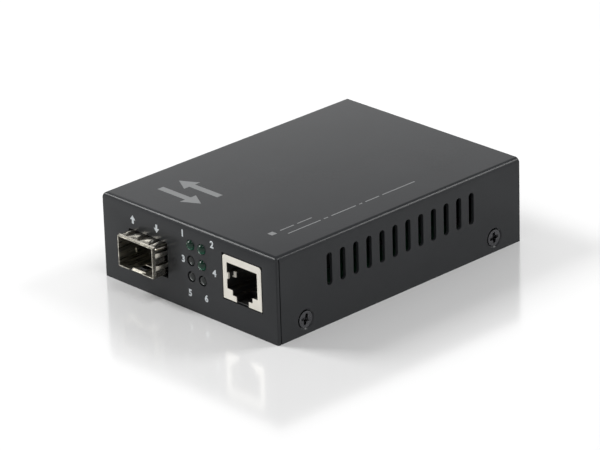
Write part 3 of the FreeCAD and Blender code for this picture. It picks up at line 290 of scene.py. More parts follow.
def smooth(piece, angle=SHARP_ROUND):
    """Shade a piece smooth, apart from edges sharper than the angle."""
    make_active(piece)
    bpy.ops.object.shade_smooth_by_angle(angle=angle)


def soften(piece, width, segments=2):
    """Round every sharp edge a little, with flat faces kept flat in their shading."""
    smooth(piece, SHARP_FLAT)
    return apply_modifier(piece, "BEVEL", width=width, segments=segments, limit_method="ANGLE",
                          angle_limit=SHARP_FLAT, use_clamp_overlap=True, harden_normals=True,
                          miter_outer="MITER_ARC")


def softened_copy(node, name, width, segments=2):
    """A merged copy of a solid with softened edges, which then stands for it."""
    piece = duplicate(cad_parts[node])
    piece.data.materials.clear()
    piece.parent = None
    for key in list(piece.keys()):
        del piece[key]
    piece.name = piece.data.name = name
    merge(piece)
    return soften(piece, width, segments)


def finish(piece, material, slot=None, *replaced):
    """Give a piece its material and its body, and hide what it stands for; the slot is not used."""
    piece.data.materials.clear()
    piece.data.materials.append(material)
    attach(piece, BODY)
    if replaced:
        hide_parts(*replaced)


# ---- Shader helpers ----
def feed(tree, socket, source):
    """Give a socket a plain value, or link another socket to it."""
    if isinstance(source, bpy.types.NodeSocket):
        tree.links.new(source, socket)
    else:
        socket.default_value = source


def add_node(tree, kind, **sources):
    """A new node whose named inputs are fed."""
    node = tree.nodes.new(kind)
    for name, source in sources.items():
        feed(tree, node.inputs[name], source)
    return node


def calculate(tree, operation, *sources):
    """The result of a math node."""
    node = tree.nodes.new("ShaderNodeMath")
    node.operation = operation
    for socket, source in zip(node.inputs, sources):
        feed(tree, socket, source)
    return node.outputs[0]


def map_range(tree, value, low, high, first, last):
    """A number that goes from first to last while the value goes from low to high."""
    ends = {"From Min": low, "From Max": high, "To Min": first, "To Max": last}
    return add_node(tree, "ShaderNodeMapRange", Value=value, **ends).outputs["Result"]


def height_of(tree, place):
    """The Z of some coordinates."""
    return add_node(tree, "ShaderNodeSeparateXYZ", Vector=place).outputs["Z"]


def shade(tone, amount):
    """A colour made lighter or darker by a share."""
    return tuple(min(1.0, max(0.0, part * (1 + amount))) for part in tone)


class Surface:
    """A new material whose main shader is fed by patterns in object coordinates."""

    def __init__(self, name):
        self.material = bpy.data.materials.new(name)
        self.material.use_nodes = True
        self.tree = self.material.node_tree
        self.shader = self.tree.nodes["Principled BSDF"]
        self.place = self.tree.nodes.new("ShaderNodeTexCoord").outputs["Object"]

    def stretched(self, stretch):
        """Object coordinates scaled differently along each axis."""
        return add_node(self.tree, "ShaderNodeMapping", Scale=stretch, Vector=self.place).outputs["Vector"]

    def noise(self, scale, detail, roughness=0.55, place=None):
        """Noise whose cells are about 1/scale metres across."""
        return add_node(self.tree, "ShaderNodeTexNoise", Scale=scale, Detail=detail, Roughness=roughness,
                        Vector=place or self.place).outputs["Fac"]

    def ramp(self, socket, pattern, low, high, first, last):
        """Drive a socket from the first colour, at low, to the last, at high."""
        node = add_node(self.tree, "ShaderNodeValToRGB", Fac=pattern)
        start, end = node.color_ramp.elements
        start.position, end.position = low, high
        start.color, end.color = (*first, 1.0), (*last, 1.0)
        self.tree.links.new(node.outputs["Color"], self.shader.inputs[socket])

    def tint(self, pattern, low, high, tone, first, last):
        """Base colour that wanders between two shades of a tone, each given as a share lighter."""
        self.ramp("Base Color", pattern, low, high, shade(tone, first), shade(tone, last))

    def rough(self, pattern, low, high):
        """Roughness that wanders between two values."""
        self.ramp("Roughness", pattern, 0.3, 0.7, (low,) * 3, (high,) * 3)

    def relief(self, pattern, strength, distance):
        """Fine relief on the shader's normal."""
        node = add_node(self.tree, "ShaderNodeBump", Strength=strength, Distance=distance, Height=pattern)
        self.tree.links.new(node.outputs["Normal"], self.shader.inputs["Normal"])


# ---- Materials ----
def powder_coat(name, tone):
    """Dark powder coat: a fine, even grain with faint clouds in its tone."""
    coat = Surface(name)
    coat.tint(coat.noise(60.0, 3.0), 0.25, 0.75, tone, -0.08, 0.08)
    grain = coat.noise(2600.0, 2.0, 0.5)
    coat.rough(grain, 0.17, 0.25)
    coat.relief(grain, 0.12, 0.02 * MM)
    coat.shader.inputs["Specular IOR Level"].default_value = 0.16
    return coat.material


def moulded(name, tone, rough, grain=1800.0, relief=0.12):
    """Moulded plastic with a faint spark-eroded grain."""
    plastic = Surface(name)
    plastic.tint(plastic.noise(150.0, 3.0), 0.3, 0.7, tone, -0.06, 0.06)
    fine = plastic.noise(grain, 3.0)
    plastic.rough(fine, rough - 0.05, rough + 0.06)
    plastic.relief(fine, relief, 0.02 * MM)
    return plastic.material


def plated(name, tone, rough, stretch=ROLLED, streak=2400.0, bands=0.0):
    """Plated sheet metal with rolling streaks along one axis and slight tarnish, or broad bands."""
    plate = Surface(name)
    along = plate.stretched(stretch)
    tarnish = plate.noise(800.0, 3.0, place=along) if bands else plate.noise(240.0, 5.0)
    plate.tint(tarnish, 0.38, 0.64, tone, -0.2 - bands, 0.08 + bands / 2)
    streaks = plate.noise(streak, 3.0, place=along)
    plate.rough(streaks, rough - 0.07, rough + 0.12)
    plate.relief(streaks, 0.1, 0.01 * MM)
    plate.shader.inputs["Metallic"].default_value = 1.0
    return plate.material


def resin_with_painted_light(name, tone, first, pitch):
    """Clear dyed resin of unlit lamps in rows, with painted light: each dome's lower half is painted
    lighter, as where light gathers, and its upper half darker.
    """
    resin = Surface(name)
    clouds = resin.noise(900.0, 2.0)
    # Painted light: height within each row of lamps, from the bottom of a dome upwards.
    height = calculate(resin.tree, "SUBTRACT", height_of(resin.tree, resin.place), first - pitch / 2)
    height = calculate(resin.tree, "FRACT", calculate(resin.tree, "DIVIDE", height, pitch))
    clouds_and_painted_light = calculate(resin.tree, "MULTIPLY_ADD", clouds, 0.12, height)
    # Base colour runs from lighter at each dome's bottom to darker at its top: painted light, with random
    # clouds mixed in.
    resin.tint(clouds_and_painted_light, 0.33, 0.62, tone, 0.9, -0.55)
    resin.rough(clouds, 0.08, 0.16)
    resin.shader.inputs["Specular IOR Level"].default_value = 0.3
    return resin.material


def laminate(name, tone):
    """Circuit board: solder mask over a faint weave and copper shadows."""
    board = Surface(name)
    tracks = add_node(board.tree, "ShaderNodeTexVoronoi", Scale=220.0, Vector=board.place)
    tracks.distance = "MANHATTAN"
    board.tint(tracks.outputs["Distance"], 0.2, 0.6, tone, 0.35, -0.2)
    board.rough(board.noise(1500.0, 2.0), 0.28, 0.4)
    board.relief(tracks.outputs["Distance"], 0.15, 0.03 * MM)
    return board.material


def print_ink(name, tone):
    """Screen-printed ink, slightly uneven in its cover."""
    ink = Surface(name)
    cover = ink.noise(3200.0, 3.0)
    ink.tint(cover, 0.3, 0.6, tone, -0.12, 0.05)
    ink.rough(cover, 0.45, 0.6)
    return ink.material


# ---- Places that several pieces share ----
def screw_spots():
    """Side (-1 or 1), y and z of each cover screw."""
    z = (SCREWS_LOW.z + SCREWS_HIGH.z) / 2
    reach = (SCREWS_HIGH.z - SCREWS_LOW.z) / 2
    return [(side, y, z) for side in (-1, 1) for y in (SCREWS_LOW.y + reach, SCREWS_HIGH.y - reach)]


def lamp_axis(node):
    """x and z of a lamp's axis."""
    low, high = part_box(node)
    return (low.x + high.x) / 2, (low.z + high.z) / 2


def lamp_rows():
    """Heights of the rows of lamps, from the top down."""
    return sorted({round(lamp_axis(node)[1], 6) for node in LAMPS}, reverse=True)


# ---- Pieces ----
def bend_edges(shell, weights, width):
    """Round chosen edges, each to its own share of one width."""
    layer = shell.data.attributes.new("bevel_weight_edge", "FLOAT", "EDGE")
    for edge in shell.data.edges:
        ends = [shell.data.vertices[index].co for index in edge.vertices]
        layer.data[edge.index].value = weights((ends[0] + ends[1]) / 2)
    apply_modifier(shell, "BEVEL", limit_method="WEIGHT", width=width, segments=8)


def folded_sheet(low, high, settings):
    """The bent sheet before its holes are cut, open below and at the rear."""
    sheet = settings.sheet
    near = sheet / 4

    def outer(spot):
        if spot.z > high.z - near and spot.y < high.y - near:
            return 1.0
        if spot.y < low.y + near and abs(spot.x) > high.x - near:
            return settings.panel_edge / settings.bend
        return 0.0

    def inner(spot):
        return 1.0 if spot.z > high.z - sheet - near and spot.y < high.y else 0.0

    shell = add_box(low, high, "cover")
    bend_edges(shell, outer, settings.bend)
    hollow = add_box((low.x + sheet, low.y + sheet, low.z - MM),
                     (high.x - sheet, high.y + MM, high.z - sheet))
    bend_edges(hollow, inner, settings.bend - sheet)
    return combine(shell, hollow)


def vent_tool(y, settings):
    """A long round-ended bar that cuts a vent through both sides at once."""
    radius = settings.vent_width / 2
    tool = add_rod(radius, (COVER_LOW.x - MM, y, settings.vent_height),
                   (COVER_HIGH.x + MM, y, settings.vent_height), sides=32, half_step=True)
    stretch = settings.vent_length / 2 - radius
    for side in (-1, 1):
        pick(tool, "VERT", lambda vertex: (vertex.co.z - settings.vent_height) * side > 0)
        bpy.ops.transform.translate(value=(0, 0, side * stretch))
        done()
    return tool


def cage_tool(front, behind, settings):
    """A bar with four rounded edges that cuts the opening for the module cage."""
    bar = add_box(
        (CAGE_LOW.x - settings.cage_gap_side, front, BOARD_TOP - settings.cage_gap_bottom),
        (CAGE_HIGH.x + settings.cage_gap_side, behind, CAGE_HIGH.z + settings.cage_gap_top))
    pick(bar, "EDGE", lambda edge: spans(edge, 1, MM))
    bpy.ops.mesh.bevel(offset=settings.cage_corner, segments=6, affect="EDGES")
    done()
    return bar


def panel_tools(low, settings):
    """The cutters for the front panel: lamps, cage and network jack."""
    front, behind = low.y - MM, low.y + 3 * MM
    gap = settings.jack_gap
    tools = [cage_tool(front, behind, settings),
             add_box((JACK_LOW.x - gap, front, BOARD_TOP - gap),
                     (JACK_HIGH.x + gap, behind, JACK_HIGH.z + gap))]
    for node in LAMPS:
        x, z = lamp_axis(node)
        tools.append(add_rod(settings.lamp_hole, (x, front, z), (x, behind, z)))
    return tools


def side_tools(low, high, settings):
    """The cutters for the sides: vents, countersinks, and the slit behind each panel end."""
    vents, depth = settings.vent_count, settings.countersink_depth
    tools = [vent_tool((index - (vents - 1) / 2) * settings.vent_pitch, settings)
             for index in range(vents)]
    for side, y, z in screw_spots():
        # Each cone starts this far out of the wall, and is that much wider there.
        flare = MM
        tools.append(add_rod(settings.countersink + flare, (side * (high.x + flare), y, z),
                             (side * (high.x - depth), y, z), end_radius=settings.countersink - depth))
    seam_y = low.y + settings.sheet
    for side in (-1, 1):
        wall = sorted((side * (high.x - settings.sheet - settings.seam), side * (high.x + MM)))
        tools.append(add_box((wall[0], seam_y, low.z - MM),
                             (wall[1], seam_y + settings.seam, high.z - settings.bend / 2)))
    return tools


class CONVERTER_OT_cover(bpy.types.Operator):
    """Folded cover: front panel, top and both sides, with vents and cut-outs"""
    bl_idname = "converter.cover"
    bl_label = "Cover"

    def execute(self, context):
        settings = context.scene.converter_cover
        # The top lies lower by the print's height, so that the print ends where the solid does.
        low, high = COVER_LOW, COVER_HIGH - Vector((0, 0, context.scene.converter_print.ink))
        shell = folded_sheet(low, high, settings)
        combine(shell, join(side_tools(low, high, settings) + panel_tools(low, settings)))
        merge(shell, WELD / 2)
        soften(shell, settings.paint_edge)
        finish(shell, powder_coat("cover_powder_coat", settings.paint), "cover_paint", "top_cover")
        return {"FINISHED"}


class CONVERTER_OT_tray(bpy.types.Operator):
    """Folded tray: floor, flanges and rear wall"""
    bl_idname = "converter.tray"
    bl_label = "Tray"

    def execute(self, context):
        settings = context.scene.converter_cover
        tray = softened_copy("base_tray", "tray", 0.08 * MM)
        finish(tray, powder_coat("tray_powder_coat", settings.paint), "cover_paint", "base_tray")
        return {"FINISHED"}


def cross_recess(settings):
    """Tapered cross with a round middle, cut down from z = 0."""
    span, width, depth = settings.cross_span / 2, settings.cross_width / 2, settings.cross_depth
    floor_share = 0.55
    wings = []
    for x, y in ((span, width), (width, span)):
        wing = add_box((-x, -y, -depth), (x, y, MM))
        pick(wing, "FACE", lambda face: face.normal.z < -FACING)
        bpy.ops.transform.resize(value=(floor_share, floor_share, 1.0))
        done()
        wings.append(wing)
    hub = add_rod(width * 1.9, (0, 0, MM), (0, 0, -depth * 1.1), sides=24, end_radius=width * 0.9)
    return combine(combine(*wings, "UNION"), hub, "UNION")


def plain_screw(settings):
    """One screw with its head's face on z = 0, pointing down."""
    taper = settings.head - settings.shank
    screw = add_rod(settings.head, (0, 0, 0), (0, 0, -taper), sides=64, end_radius=settings.shank,
                    name="cover_screw")
    pick(screw, "FACE", lambda face: face.normal.z < -FACING)
    bpy.ops.mesh.extrude_region_move(TRANSFORM_OT_translate={
        "value": (0, 0, taper - settings.screw_length)})
    done()
    combine(screw, cross_recess(settings))
    return soften(screw, 0.09 * MM, 3)


class CONVERTER_OT_screws(bpy.types.Operator):
    """Four countersunk cross-head screws in the cover's sides"""
    bl_idname = "converter.screws"
    bl_label = "Cover screws"

    def execute(self, context):
        settings = context.scene.converter_fittings
        aside = settings.head_aside
        screw = plain_screw(settings)
        material = plated("blackened_screw", (0.085, 0.085, 0.09), 0.24, UNROLLED)
        for number, (side, y, z) in enumerate(screw_spots(), start=1):
            copy = duplicate(screw)
            copy.name = "cover_screw_%d" % number
            turn = (Matrix.Rotation(side * math.pi / 2, 4, "Y")
                    @ Matrix.Rotation(number * settings.cross_turn, 4, "Z"))
            spot = (side * SCREWS_HIGH.x, y + aside, z - aside)
            copy.data.transform(Matrix.Translation(spot) @ turn)
            finish(copy, material, "screw_black", "cover_screws")
        bpy.data.objects.remove(screw)
        return {"FINISHED"}


def carry_rim(along, share, centre):
    """Extrude the open rim along Y, then scale it about a point on the lamp's axis."""
    bpy.ops.mesh.extrude_edges_move(TRANSFORM_OT_translate={"value": (0, along, 0)})
    bpy.ops.transform.resize(value=(share, 1.0, share), center_override=centre)


def lens(node, radius, bulge, equator, waist, settings):
    """A dome, a barrel that narrows to its waist, and the flange at the back."""
    x, z = lamp_axis(node)
    deselect_all()
    bpy.ops.mesh.primitive_uv_sphere_add(segments=40, ring_count=20, radius=radius,
                                         location=(x, equator, z), rotation=(math.pi / 2, 0, 0),
                                         scale=(1, 1, bulge))
    lamp = settle(node + "_lens")
    pick(lamp, "FACE", lambda face: face.calc_center_median().y > equator)
    bpy.ops.mesh.delete(type="FACE")
    bpy.ops.mesh.select_mode(type="EDGE")
    bpy.ops.mesh.select_all(action="DESELECT")
    bpy.ops.mesh.select_non_manifold()
    flange_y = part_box(node)[1].y - settings.lamp_collar
    centre = (x, flange_y, z)
    carry_rim(flange_y - equator, waist, centre)
    carry_rim(0, settings.lamp_flange / radius / waist, centre)
    carry_rim(settings.lamp_collar, 1.0, centre)
    bpy.ops.mesh.edge_face_add()
    bpy.ops.mesh.select_all(action="SELECT")
    bpy.ops.mesh.normals_make_consistent(inside=False)
    done()
    smooth(lamp)
    return lamp


class CONVERTER_OT_lamps(bpy.types.Operator):
    """Six round-nosed lamps"""
    bl_idname = "converter.lamps"
    bl_label = "Lamps"

    def execute(self, context):
        settings = context.scene.converter_fittings
        rows = lamp_rows()
        pitch = rows[-2] - rows[-1]
        green = resin_with_painted_light("lamp_resin", settings.lamp_colour, rows[-1], pitch)
        smoked = resin_with_painted_light("smoked_resin_painted_light", settings.smoke_colour, rows[-1], pitch)
        painted_shade_sleeve = moulded("lamp_sleeve", (0.004, 0.004, 0.004), 0.6)
        for node in LAMPS:
            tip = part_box(node)[0].y
            # A lens that ends in its hole is nearly flat, narrows behind its face and has a black sleeve:
            # painted shade in the gap round it.
            sunk = tip > COVER_LOW.y
            radius, bulge, waist = (settings.lens_recess, 0.2, 0.75) if sunk else (settings.lamp, 1.0, 1.0)
            equator = min(tip, COVER_LOW.y) + radius * bulge
            lamp = lens(node, radius, bulge, equator, waist, settings)
            finish(lamp, smoked if sunk else green, "lamp_green", node)
            if sunk:
                # Faces behind the lens's face get the black sleeve, painted shade in the gap round the
                # lens.
                lamp.data.materials.append(painted_shade_sleeve)
                for face in lamp.data.polygons:
                    face.material_index = int(face.center.y > equator + 0.02 * MM)
        return {"FINISHED"}


class CONVERTER_OT_network_jack(bpy.types.Operator):
    """Housing of the network jack: a pale moulded frame round a black bay, with a black plate over the
    board in the latch's notch as painted shade
    """
    bl_idname = "converter.network_jack"
    bl_label = "Network jack"

    def execute(self, context):
        settings = context.scene.converter_fittings
        housing = softened_copy("jack_housing", "jack_shell", 0.12 * MM, 3)
        # Where the bay's left wall meets the face and the board.
        corner = Vector(((JACK_LOW.x + JACK_HIGH.x) / 2 - 6.05 * MM, JACK_LOW.y, BOARD_TOP))
        parts = []
        # Right of that corner, behind it and above it, in millimetres.
        for x, y, z in (((3.75, 8.35), (0.35, 5.9), (0.02, 0.3)),     # black lining over the board in the latch's notch: painted shade
                        ((-0.2, 0.45), (0.03, 0.65), (6.15, 8.0)),    # tab on the left wall
                        ((-0.2, 1.3), (2.1, 2.6), (6.1, 7.8))):       # post behind the tab
            low, high = (corner + Vector(ends) * MM for ends in zip(x, y, z))
            parts.append(soften(add_box(low, high), 0.06 * MM))
        pale = sum(len(part.data.polygons) for part in parts[1:])
        housing = join([housing] + parts)
        finish(housing, moulded("jack_plastic", settings.jack_colour, 0.4), "jack_cream", "jack_housing")
        # Faces more than 0.2 mm behind the front, but not the tab and the post, are near-black; on the
        # notch's lining this black is painted shade.
        housing.data.materials.append(moulded("jack_bay_black_and_painted_shade", (0.004, 0.004, 0.0042), 0.5))
        for face in housing.data.polygons[:-pale]:
            if face.center.y > JACK_LOW.y + 0.2 * MM:
                face.material_index = 1
        return {"FINISHED"}


def spring_finger(width, gap, ridge, settings):
    """One finger from y = 0 backwards on z = 0: it swells to the panel and dips behind it.

    The ridge is where it is highest across its width, from -1 at one edge to 1 at the other.
    """
    sheet = settings.collar_sheet
    reach = COVER_LOW.y - CAGE_LOW.y - settings.collar_band
    peak = reach * 0.62
    heel = reach + 1.5 * MM
    tail = reach + MM + settings.finger_tail
    finger = add_box((-width / 2, 0, 0), (width / 2, tail, sheet))
    for axis, least, cuts in ((1, MM, 15), (0, width / 2, 11)):
        pick(finger, "EDGE", lambda edge: spans(edge, axis, least))
        bpy.ops.mesh.subdivide(number_cuts=cuts)
        done()
    clear = 0.05 * MM
    crest = gap - sheet - clear
    hump = max(settings.finger_hump, crest)

    def along(y):
        """Lift at a distance behind the band: hump, crest in the cut-out, and tail."""
        if y < peak:
            return hump * math.sin(math.pi / 2 * y / peak)
        if y < reach:
            return crest + (hump - crest) * math.cos(math.pi / 2 * (y - peak) / (reach - peak))
        return crest * (1.0 if y < heel else max(0.0, (tail - y) / (tail - heel)))

    def across(x):
        """Share of that lift across the width: a crown that falls to both edges."""
        fall, power = 0.9, 2.5
        aside = 2 * x / width - ridge
        return 1 - fall * abs(aside / (1 - math.copysign(ridge, aside))) ** power

    same = 0.001 * MM
    rows = sorted({round(vertex.co.y, 7) for vertex in finger.data.vertices})
    columns = sorted({round(vertex.co.x, 7) for vertex in finger.data.vertices})
    for y in rows:
        for x in columns:
            lift = along(y) * across(x)
            if lift < same:
                continue
            pick(finger, "VERT", lambda vertex: (abs(vertex.co.y - y) < same
                                                 and abs(vertex.co.x - x) < same))
            bpy.ops.transform.translate(value=(0, 0, lift))
            done()
    return finger


def strips(low, slits, high, settings):
    """Middles and widths of what the slits leave between two ends."""
    half = settings.finger_slit / 2
    starts = [low] + [slit + half for slit in slits]
    ends = [slit - half for slit in slits] + [high]
    return [((start + end) / 2, end - start) for start, end in zip(starts, ends)]


def collar_mouth(start, latch, settings):
    """The solid band round the mouth, thin at its front edge and open over the latch."""
    sheet = settings.collar_sheet
    band = add_box((CAGE_LOW.x - sheet, CAGE_LOW.y + 0.25 * MM, BOARD_TOP - sheet),
                   (CAGE_HIGH.x + sheet, start, CAGE_HIGH.z + sheet), "collar")
    thin = sheet - 0.03 * MM
    centre_z = (BOARD_TOP + CAGE_HIGH.z) / 2
    pick(band, "FACE", lambda face: face.normal.y < -FACING)
    bpy.ops.transform.resize(value=(1 - thin / (CAGE_HIGH.x - CAGE_X + sheet), 1.0,
                                    1 - thin / (CAGE_HIGH.z - centre_z + sheet)),
                             center_override=(CAGE_X, start, centre_z))
    done()
    combine(band, add_box((CAGE_LOW.x, CAGE_LOW.y - MM, BOARD_TOP),
                          (CAGE_HIGH.x, start + MM, CAGE_HIGH.z)))
    return combine(band, add_box((CAGE_X - latch, CAGE_LOW.y - MM, BOARD_TOP - MM),
                                 (CAGE_X + latch, start + MM, BOARD_TOP + 0.1 * MM)))


def all_fingers(start, latch, settings, cover):
    """The fingers of all four sides."""
    corner = 0.35 * MM
    half = CAGE_HIGH.x - CAGE_X
    pitch, first = settings.finger_pitch, settings.side_slit
    # Width, gap to the cut-out and ridge of a finger, and the turn, x and z of each copy.
    plans = []
    for middle, width in strips(corner - half, (-pitch, 0, pitch), half - corner, settings):
        plans.append((width, cover.cage_gap_top, 0.45, [(0, CAGE_X + middle, CAGE_HIGH.z)]))
    for middle, width in strips(corner, (first, first + settings.side_pitch),
                                CAGE_HIGH.z - BOARD_TOP - corner, settings):
        z = CAGE_HIGH.z - middle
        plans.append((width, cover.cage_gap_side, -0.45,
                      [(math.pi / 2, CAGE_HIGH.x, z), (-math.pi / 2, CAGE_LOW.x, z)]))
    width = half - corner - latch
    plans.append((width, cover.cage_gap_bottom, 0.0,
                  [(math.pi, CAGE_X + side * (latch + width / 2), BOARD_TOP) for side in (-1, 1)]))
    pieces = []
    for width, gap, ridge, places in plans:
        finger = spring_finger(width, gap, ridge, settings)
        for turn, x, z in places:
            copy = duplicate(finger)
            copy.data.transform(Matrix.Translation((x, start, z)) @ Matrix.Rotation(turn, 4, "Y"))
            pieces.append(copy)
        bpy.data.objects.remove(finger)
    return pieces


def latch_lip(settings):
    """The bent end of the latch tongue, in the floor of the mouth."""
    half, x = settings.latch_lip / 2, CAGE_X + 0.15 * MM
    lip = add_box((x - half, CAGE_LOW.y + 0.3 * MM, BOARD_TOP),
                  (x + half, CAGE_LOW.y + 0.95 * MM, BOARD_TOP + 0.15 * MM), "latch_lip")
    pick(lip, "VERT", lambda vertex: vertex.co.y > CAGE_LOW.y + 0.5 * MM)
    bpy.ops.transform.translate(value=(0, 0, 0.3 * MM))
    done()
    return lip


class CONVERTER_OT_collar(bpy.types.Operator):
    """Sprung collar round the cage's mouth: a band and the crowned fingers behind it"""
    bl_idname = "converter.collar"
    bl_label = "Spring collar"

    def execute(self, context):
        settings = context.scene.converter_fittings
        start = CAGE_LOW.y + settings.collar_band
        latch = settings.tongue / 2 + 0.35 * MM
        fingers = all_fingers(start, latch, settings, context.scene.converter_cover)
        collar = join([collar_mouth(start, latch, settings)] + fingers)
        smooth(collar)
        nickel = plated("collar_nickel", settings.collar_nickel, 0.16, streak=1300.0)
        finish(collar, nickel, "cage_nickel", "spring_collar")
        lip = latch_lip(settings)
        tab = add_box((CAGE_LOW.x + 0.1 * MM, CAGE_LOW.y + 6.4 * MM, BOARD_TOP + 2.1 * MM),
                      (CAGE_LOW.x + 0.5 * MM, CAGE_LOW.y + 6.6 * MM, BOARD_TOP + 3.4 * MM), "cage_tab")
        # The lip and the tab are a lighter copy of the collar's nickel: a painted highlight.
        painted_highlight_nickel = plated("nickel_painted_highlight", shade(settings.collar_nickel, 0.3), 0.42)
        for piece in (lip, tab):
            soften(piece, 0.04 * MM)
            finish(piece, painted_highlight_nickel, "cage_nickel")
        return {"FINISHED"}


class CONVERTER_OT_power_inlet(bpy.types.Operator):
    """Moulded body of the power inlet on the rear wall"""
    bl_idname = "converter.power_inlet"
    bl_label = "Power inlet"

    def execute(self, context):
        body = softened_copy("inlet_body", "inlet_shell", 0.15 * MM, 3)
        finish(body, moulded("inlet_plastic", (0.018, 0.018, 0.019), 0.38), "black_plastic", "inlet_body")
        return {"FINISHED"}


class CONVERTER_OT_solids(bpy.types.Operator):
    """Finishes for the solids that show as they are"""
    bl_idname = "converter.solids"
    bl_label = "Other solids"

    def execute(self, context):
        settings = context.scene.converter_fittings
        finishes = {
            plated("cage_nickel", settings.nickel, 0.3, bands=0.35): ("module_cage", "cage_floor"),
            plated("gold_contacts", (0.83, 0.60, 0.24), 0.22): ("host_contacts", "jack_contacts"),
            plated("tinned_leads", (0.66, 0.66, 0.65), 0.28):
                ("lamp_leads", "inlet_pin", "inlet_contacts", "clock_crystal"),
            plated("zinc_steel", (0.58, 0.58, 0.56), 0.34, UNROLLED):
                ("board_standoffs", "board_screws", "filter_capacitors"),
            moulded("black_package", (0.018, 0.018, 0.02), 0.45):
                ("host_connector", "converter_chip", "config_memory", "isolation_magnetics",
                 "voltage_regulator", "input_diode", "lamp_holder_left", "lamp_holder_right",
                 "chip_resistors"),
            moulded("jack_carrier_plastic", settings.jack_colour, 0.45): ("jack_carrier",),
            moulded("ferrite_grey", (0.085, 0.08, 0.076), 0.6, 2600.0, 0.3): ("power_inductor",),
            moulded("ceramic_tan", (0.42, 0.30, 0.18), 0.5): ("chip_capacitors",),
            laminate("board_laminate", (0.012, 0.115, 0.05)): ("main_board",),
        }
        for material, nodes in finishes.items():
            for node in nodes:
                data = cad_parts[node].data
                data.materials.clear()
                data.materials.append(material)
        return {"FINISHED"}


def ink_figure(text, name, settings):
    """A flat, bold printed figure, centred on the origin in the XY plane."""
    deselect_all()
    bpy.ops.object.text_add()
    label = bpy.context.active_object
    label.data.body = text
    label.data.align_x = "CENTER"
    label.data.align_y = "CENTER"
    label.data.size = settings.figure
    label.data.bevel_depth = 0.045 * settings.figure
    label.data.bevel_resolution = 0
    bpy.ops.object.convert(target="MESH")
    label = settle(name)
    heights = [vertex.co.y for vertex in label.data.vertices]
    low, high = min(heights), max(heights)
    thick = max(vertex.co.z for vertex in label.data.vertices)
    share = settings.figure / (high - low)
    centre = Matrix.Translation((0, -share * (high + low) / 2, 0))
    label.data.transform(centre @ Matrix.Diagonal((share, share, settings.ink / thick, 1)))
    return label


def ink_plate(name, width, depth, settings):
    """A thin flat plate of ink, centred on the origin."""
    return add_box((-width / 2, -depth / 2, -settings.ink), (width / 2, depth / 2, settings.ink), name)


def ink_arrow(name, span, width, shaft, head, settings):
    """A flat arrow along +X, centred on the origin."""
    arrow = ink_plate(name, span, shaft, settings)
    pick(arrow, "FACE", lambda face: face.normal.x > FACING)
    bpy.ops.transform.translate(value=(-head, 0, 0))
    bpy.ops.mesh.extrude_region_move(TRANSFORM_OT_translate={"value": (0, 0, 0)})
    bpy.ops.transform.resize(value=(1, width / shaft, 1), center_override=(span / 2 - head, 0, 0))
    bpy.ops.mesh.extrude_region_move(TRANSFORM_OT_translate={"value": (head, 0, 0)})
    bpy.ops.transform.resize(value=(1, 0, 1), center_override=(span / 2, 0, 0))
    bpy.ops.mesh.select_all(action="SELECT")
    bpy.ops.mesh.remove_doubles(threshold=WELD)
    done()
    return arrow


def on_front(piece, x, z):
    """Stand a flat piece on the front panel."""
    piece.data.transform(Matrix.Translation((x, COVER_LOW.y, z)) @ Matrix.Rotation(math.pi / 2, 4, "X"))


def on_top(piece, x, y, settings, turn=0.0):
    """Lay a flat piece on the top, at a place in millimetres."""
    spot = (x * MM, y * MM, COVER_HIGH.z - settings.ink)
    piece.data.transform(Matrix.Translation(spot) @ Matrix.Rotation(turn, 4, "Z"))
    return piece


def front_marks(settings):
    """A figure beside each lamp, and an arrow out of and into the module cage."""
    columns = [lamp_axis(node)[0] for node in LAMPS]
    left, right, rows = min(columns), max(columns), lamp_rows()
    marks = []
    # The lamp's column and how far right of it, then its row and how far above, in millimetres.
    for text, x, aside, z, above in (("1", left, -3.1, rows[0], 2.75), ("2", right, 4.3, rows[0], 2.7),
                                     ("3", left, -3.1, rows[1], -0.2), ("4", right, 5.0, rows[1], -0.9),
                                     ("5", left, -0.8, rows[2], -5.1), ("6", right, 1.3, rows[2], -4.9)):
        mark = ink_figure(text, "lamp_figure_" + text, settings)
        on_front(mark, x + aside * MM, z + above * MM)
        marks.append(mark)
    size = settings.figure
    for turn, aside, name in ((90, -6.1, "module_arrow_out"), (-90, 3.8, "module_arrow_in")):
        mark = ink_arrow(name, 1.15 * size, size, 0.36 * size, 0.62 * size, settings)
        mark.data.transform(Matrix.Rotation(math.radians(turn), 4, "Z"))
        on_front(mark, CAGE_X + aside * MM, CAGE_HIGH.z + 3.5 * MM)
        marks.append(mark)
    return marks


def top_marks(settings):
    """Two arrows, a square and two rows of dashes."""
    marks = []
    for name, y, turn in (("top_arrow_rear", -35.7, 0.0), ("top_arrow_front", -28.5, math.pi)):
        mark = ink_arrow(name, 17 * MM, 6.2 * MM, 2.2 * MM, 5.5 * MM, settings)
        marks.append(on_top(mark, -16.4, y, settings, turn))
    square = ink_plate("top_square", 1.9 * MM, 1.9 * MM, settings)
    marks.append(on_top(square, 22.2, -37.0, settings))
    start, gap = -34.0, 1.3
    for x, words in ((22.3, (5.2, 5.6)), (25.4, (12.5, 1.6, 9.6, 1.2, 5.4, 13.0))):
        dashes = []
        y = start
        for number, word in enumerate(words):
            dash = ink_plate("top_rule_%d" % number, 0.4 * MM, word * MM, settings)
            dashes.append(on_top(dash, x, y + word / 2, settings))
            y += word + gap
        rule = join(dashes)
        rule.name = rule.data.name = "top_rule_%d" % round(x)
        marks.append(rule)
    return marks


class CONVERTER_OT_print(bpy.types.Operator):
    """Plain printed figures and marks on the front panel and the top"""
    bl_idname = "converter.print"
    bl_label = "Print"

    def execute(self, context):
        settings = context.scene.converter_print
        white = print_ink("front_ink", settings.front_ink)
        grey = print_ink("top_ink", settings.top_ink)
        for mark in front_marks(settings):
            finish(mark, white)
        for mark in top_marks(settings):
            finish(mark, grey)
        return {"FINISHED"}


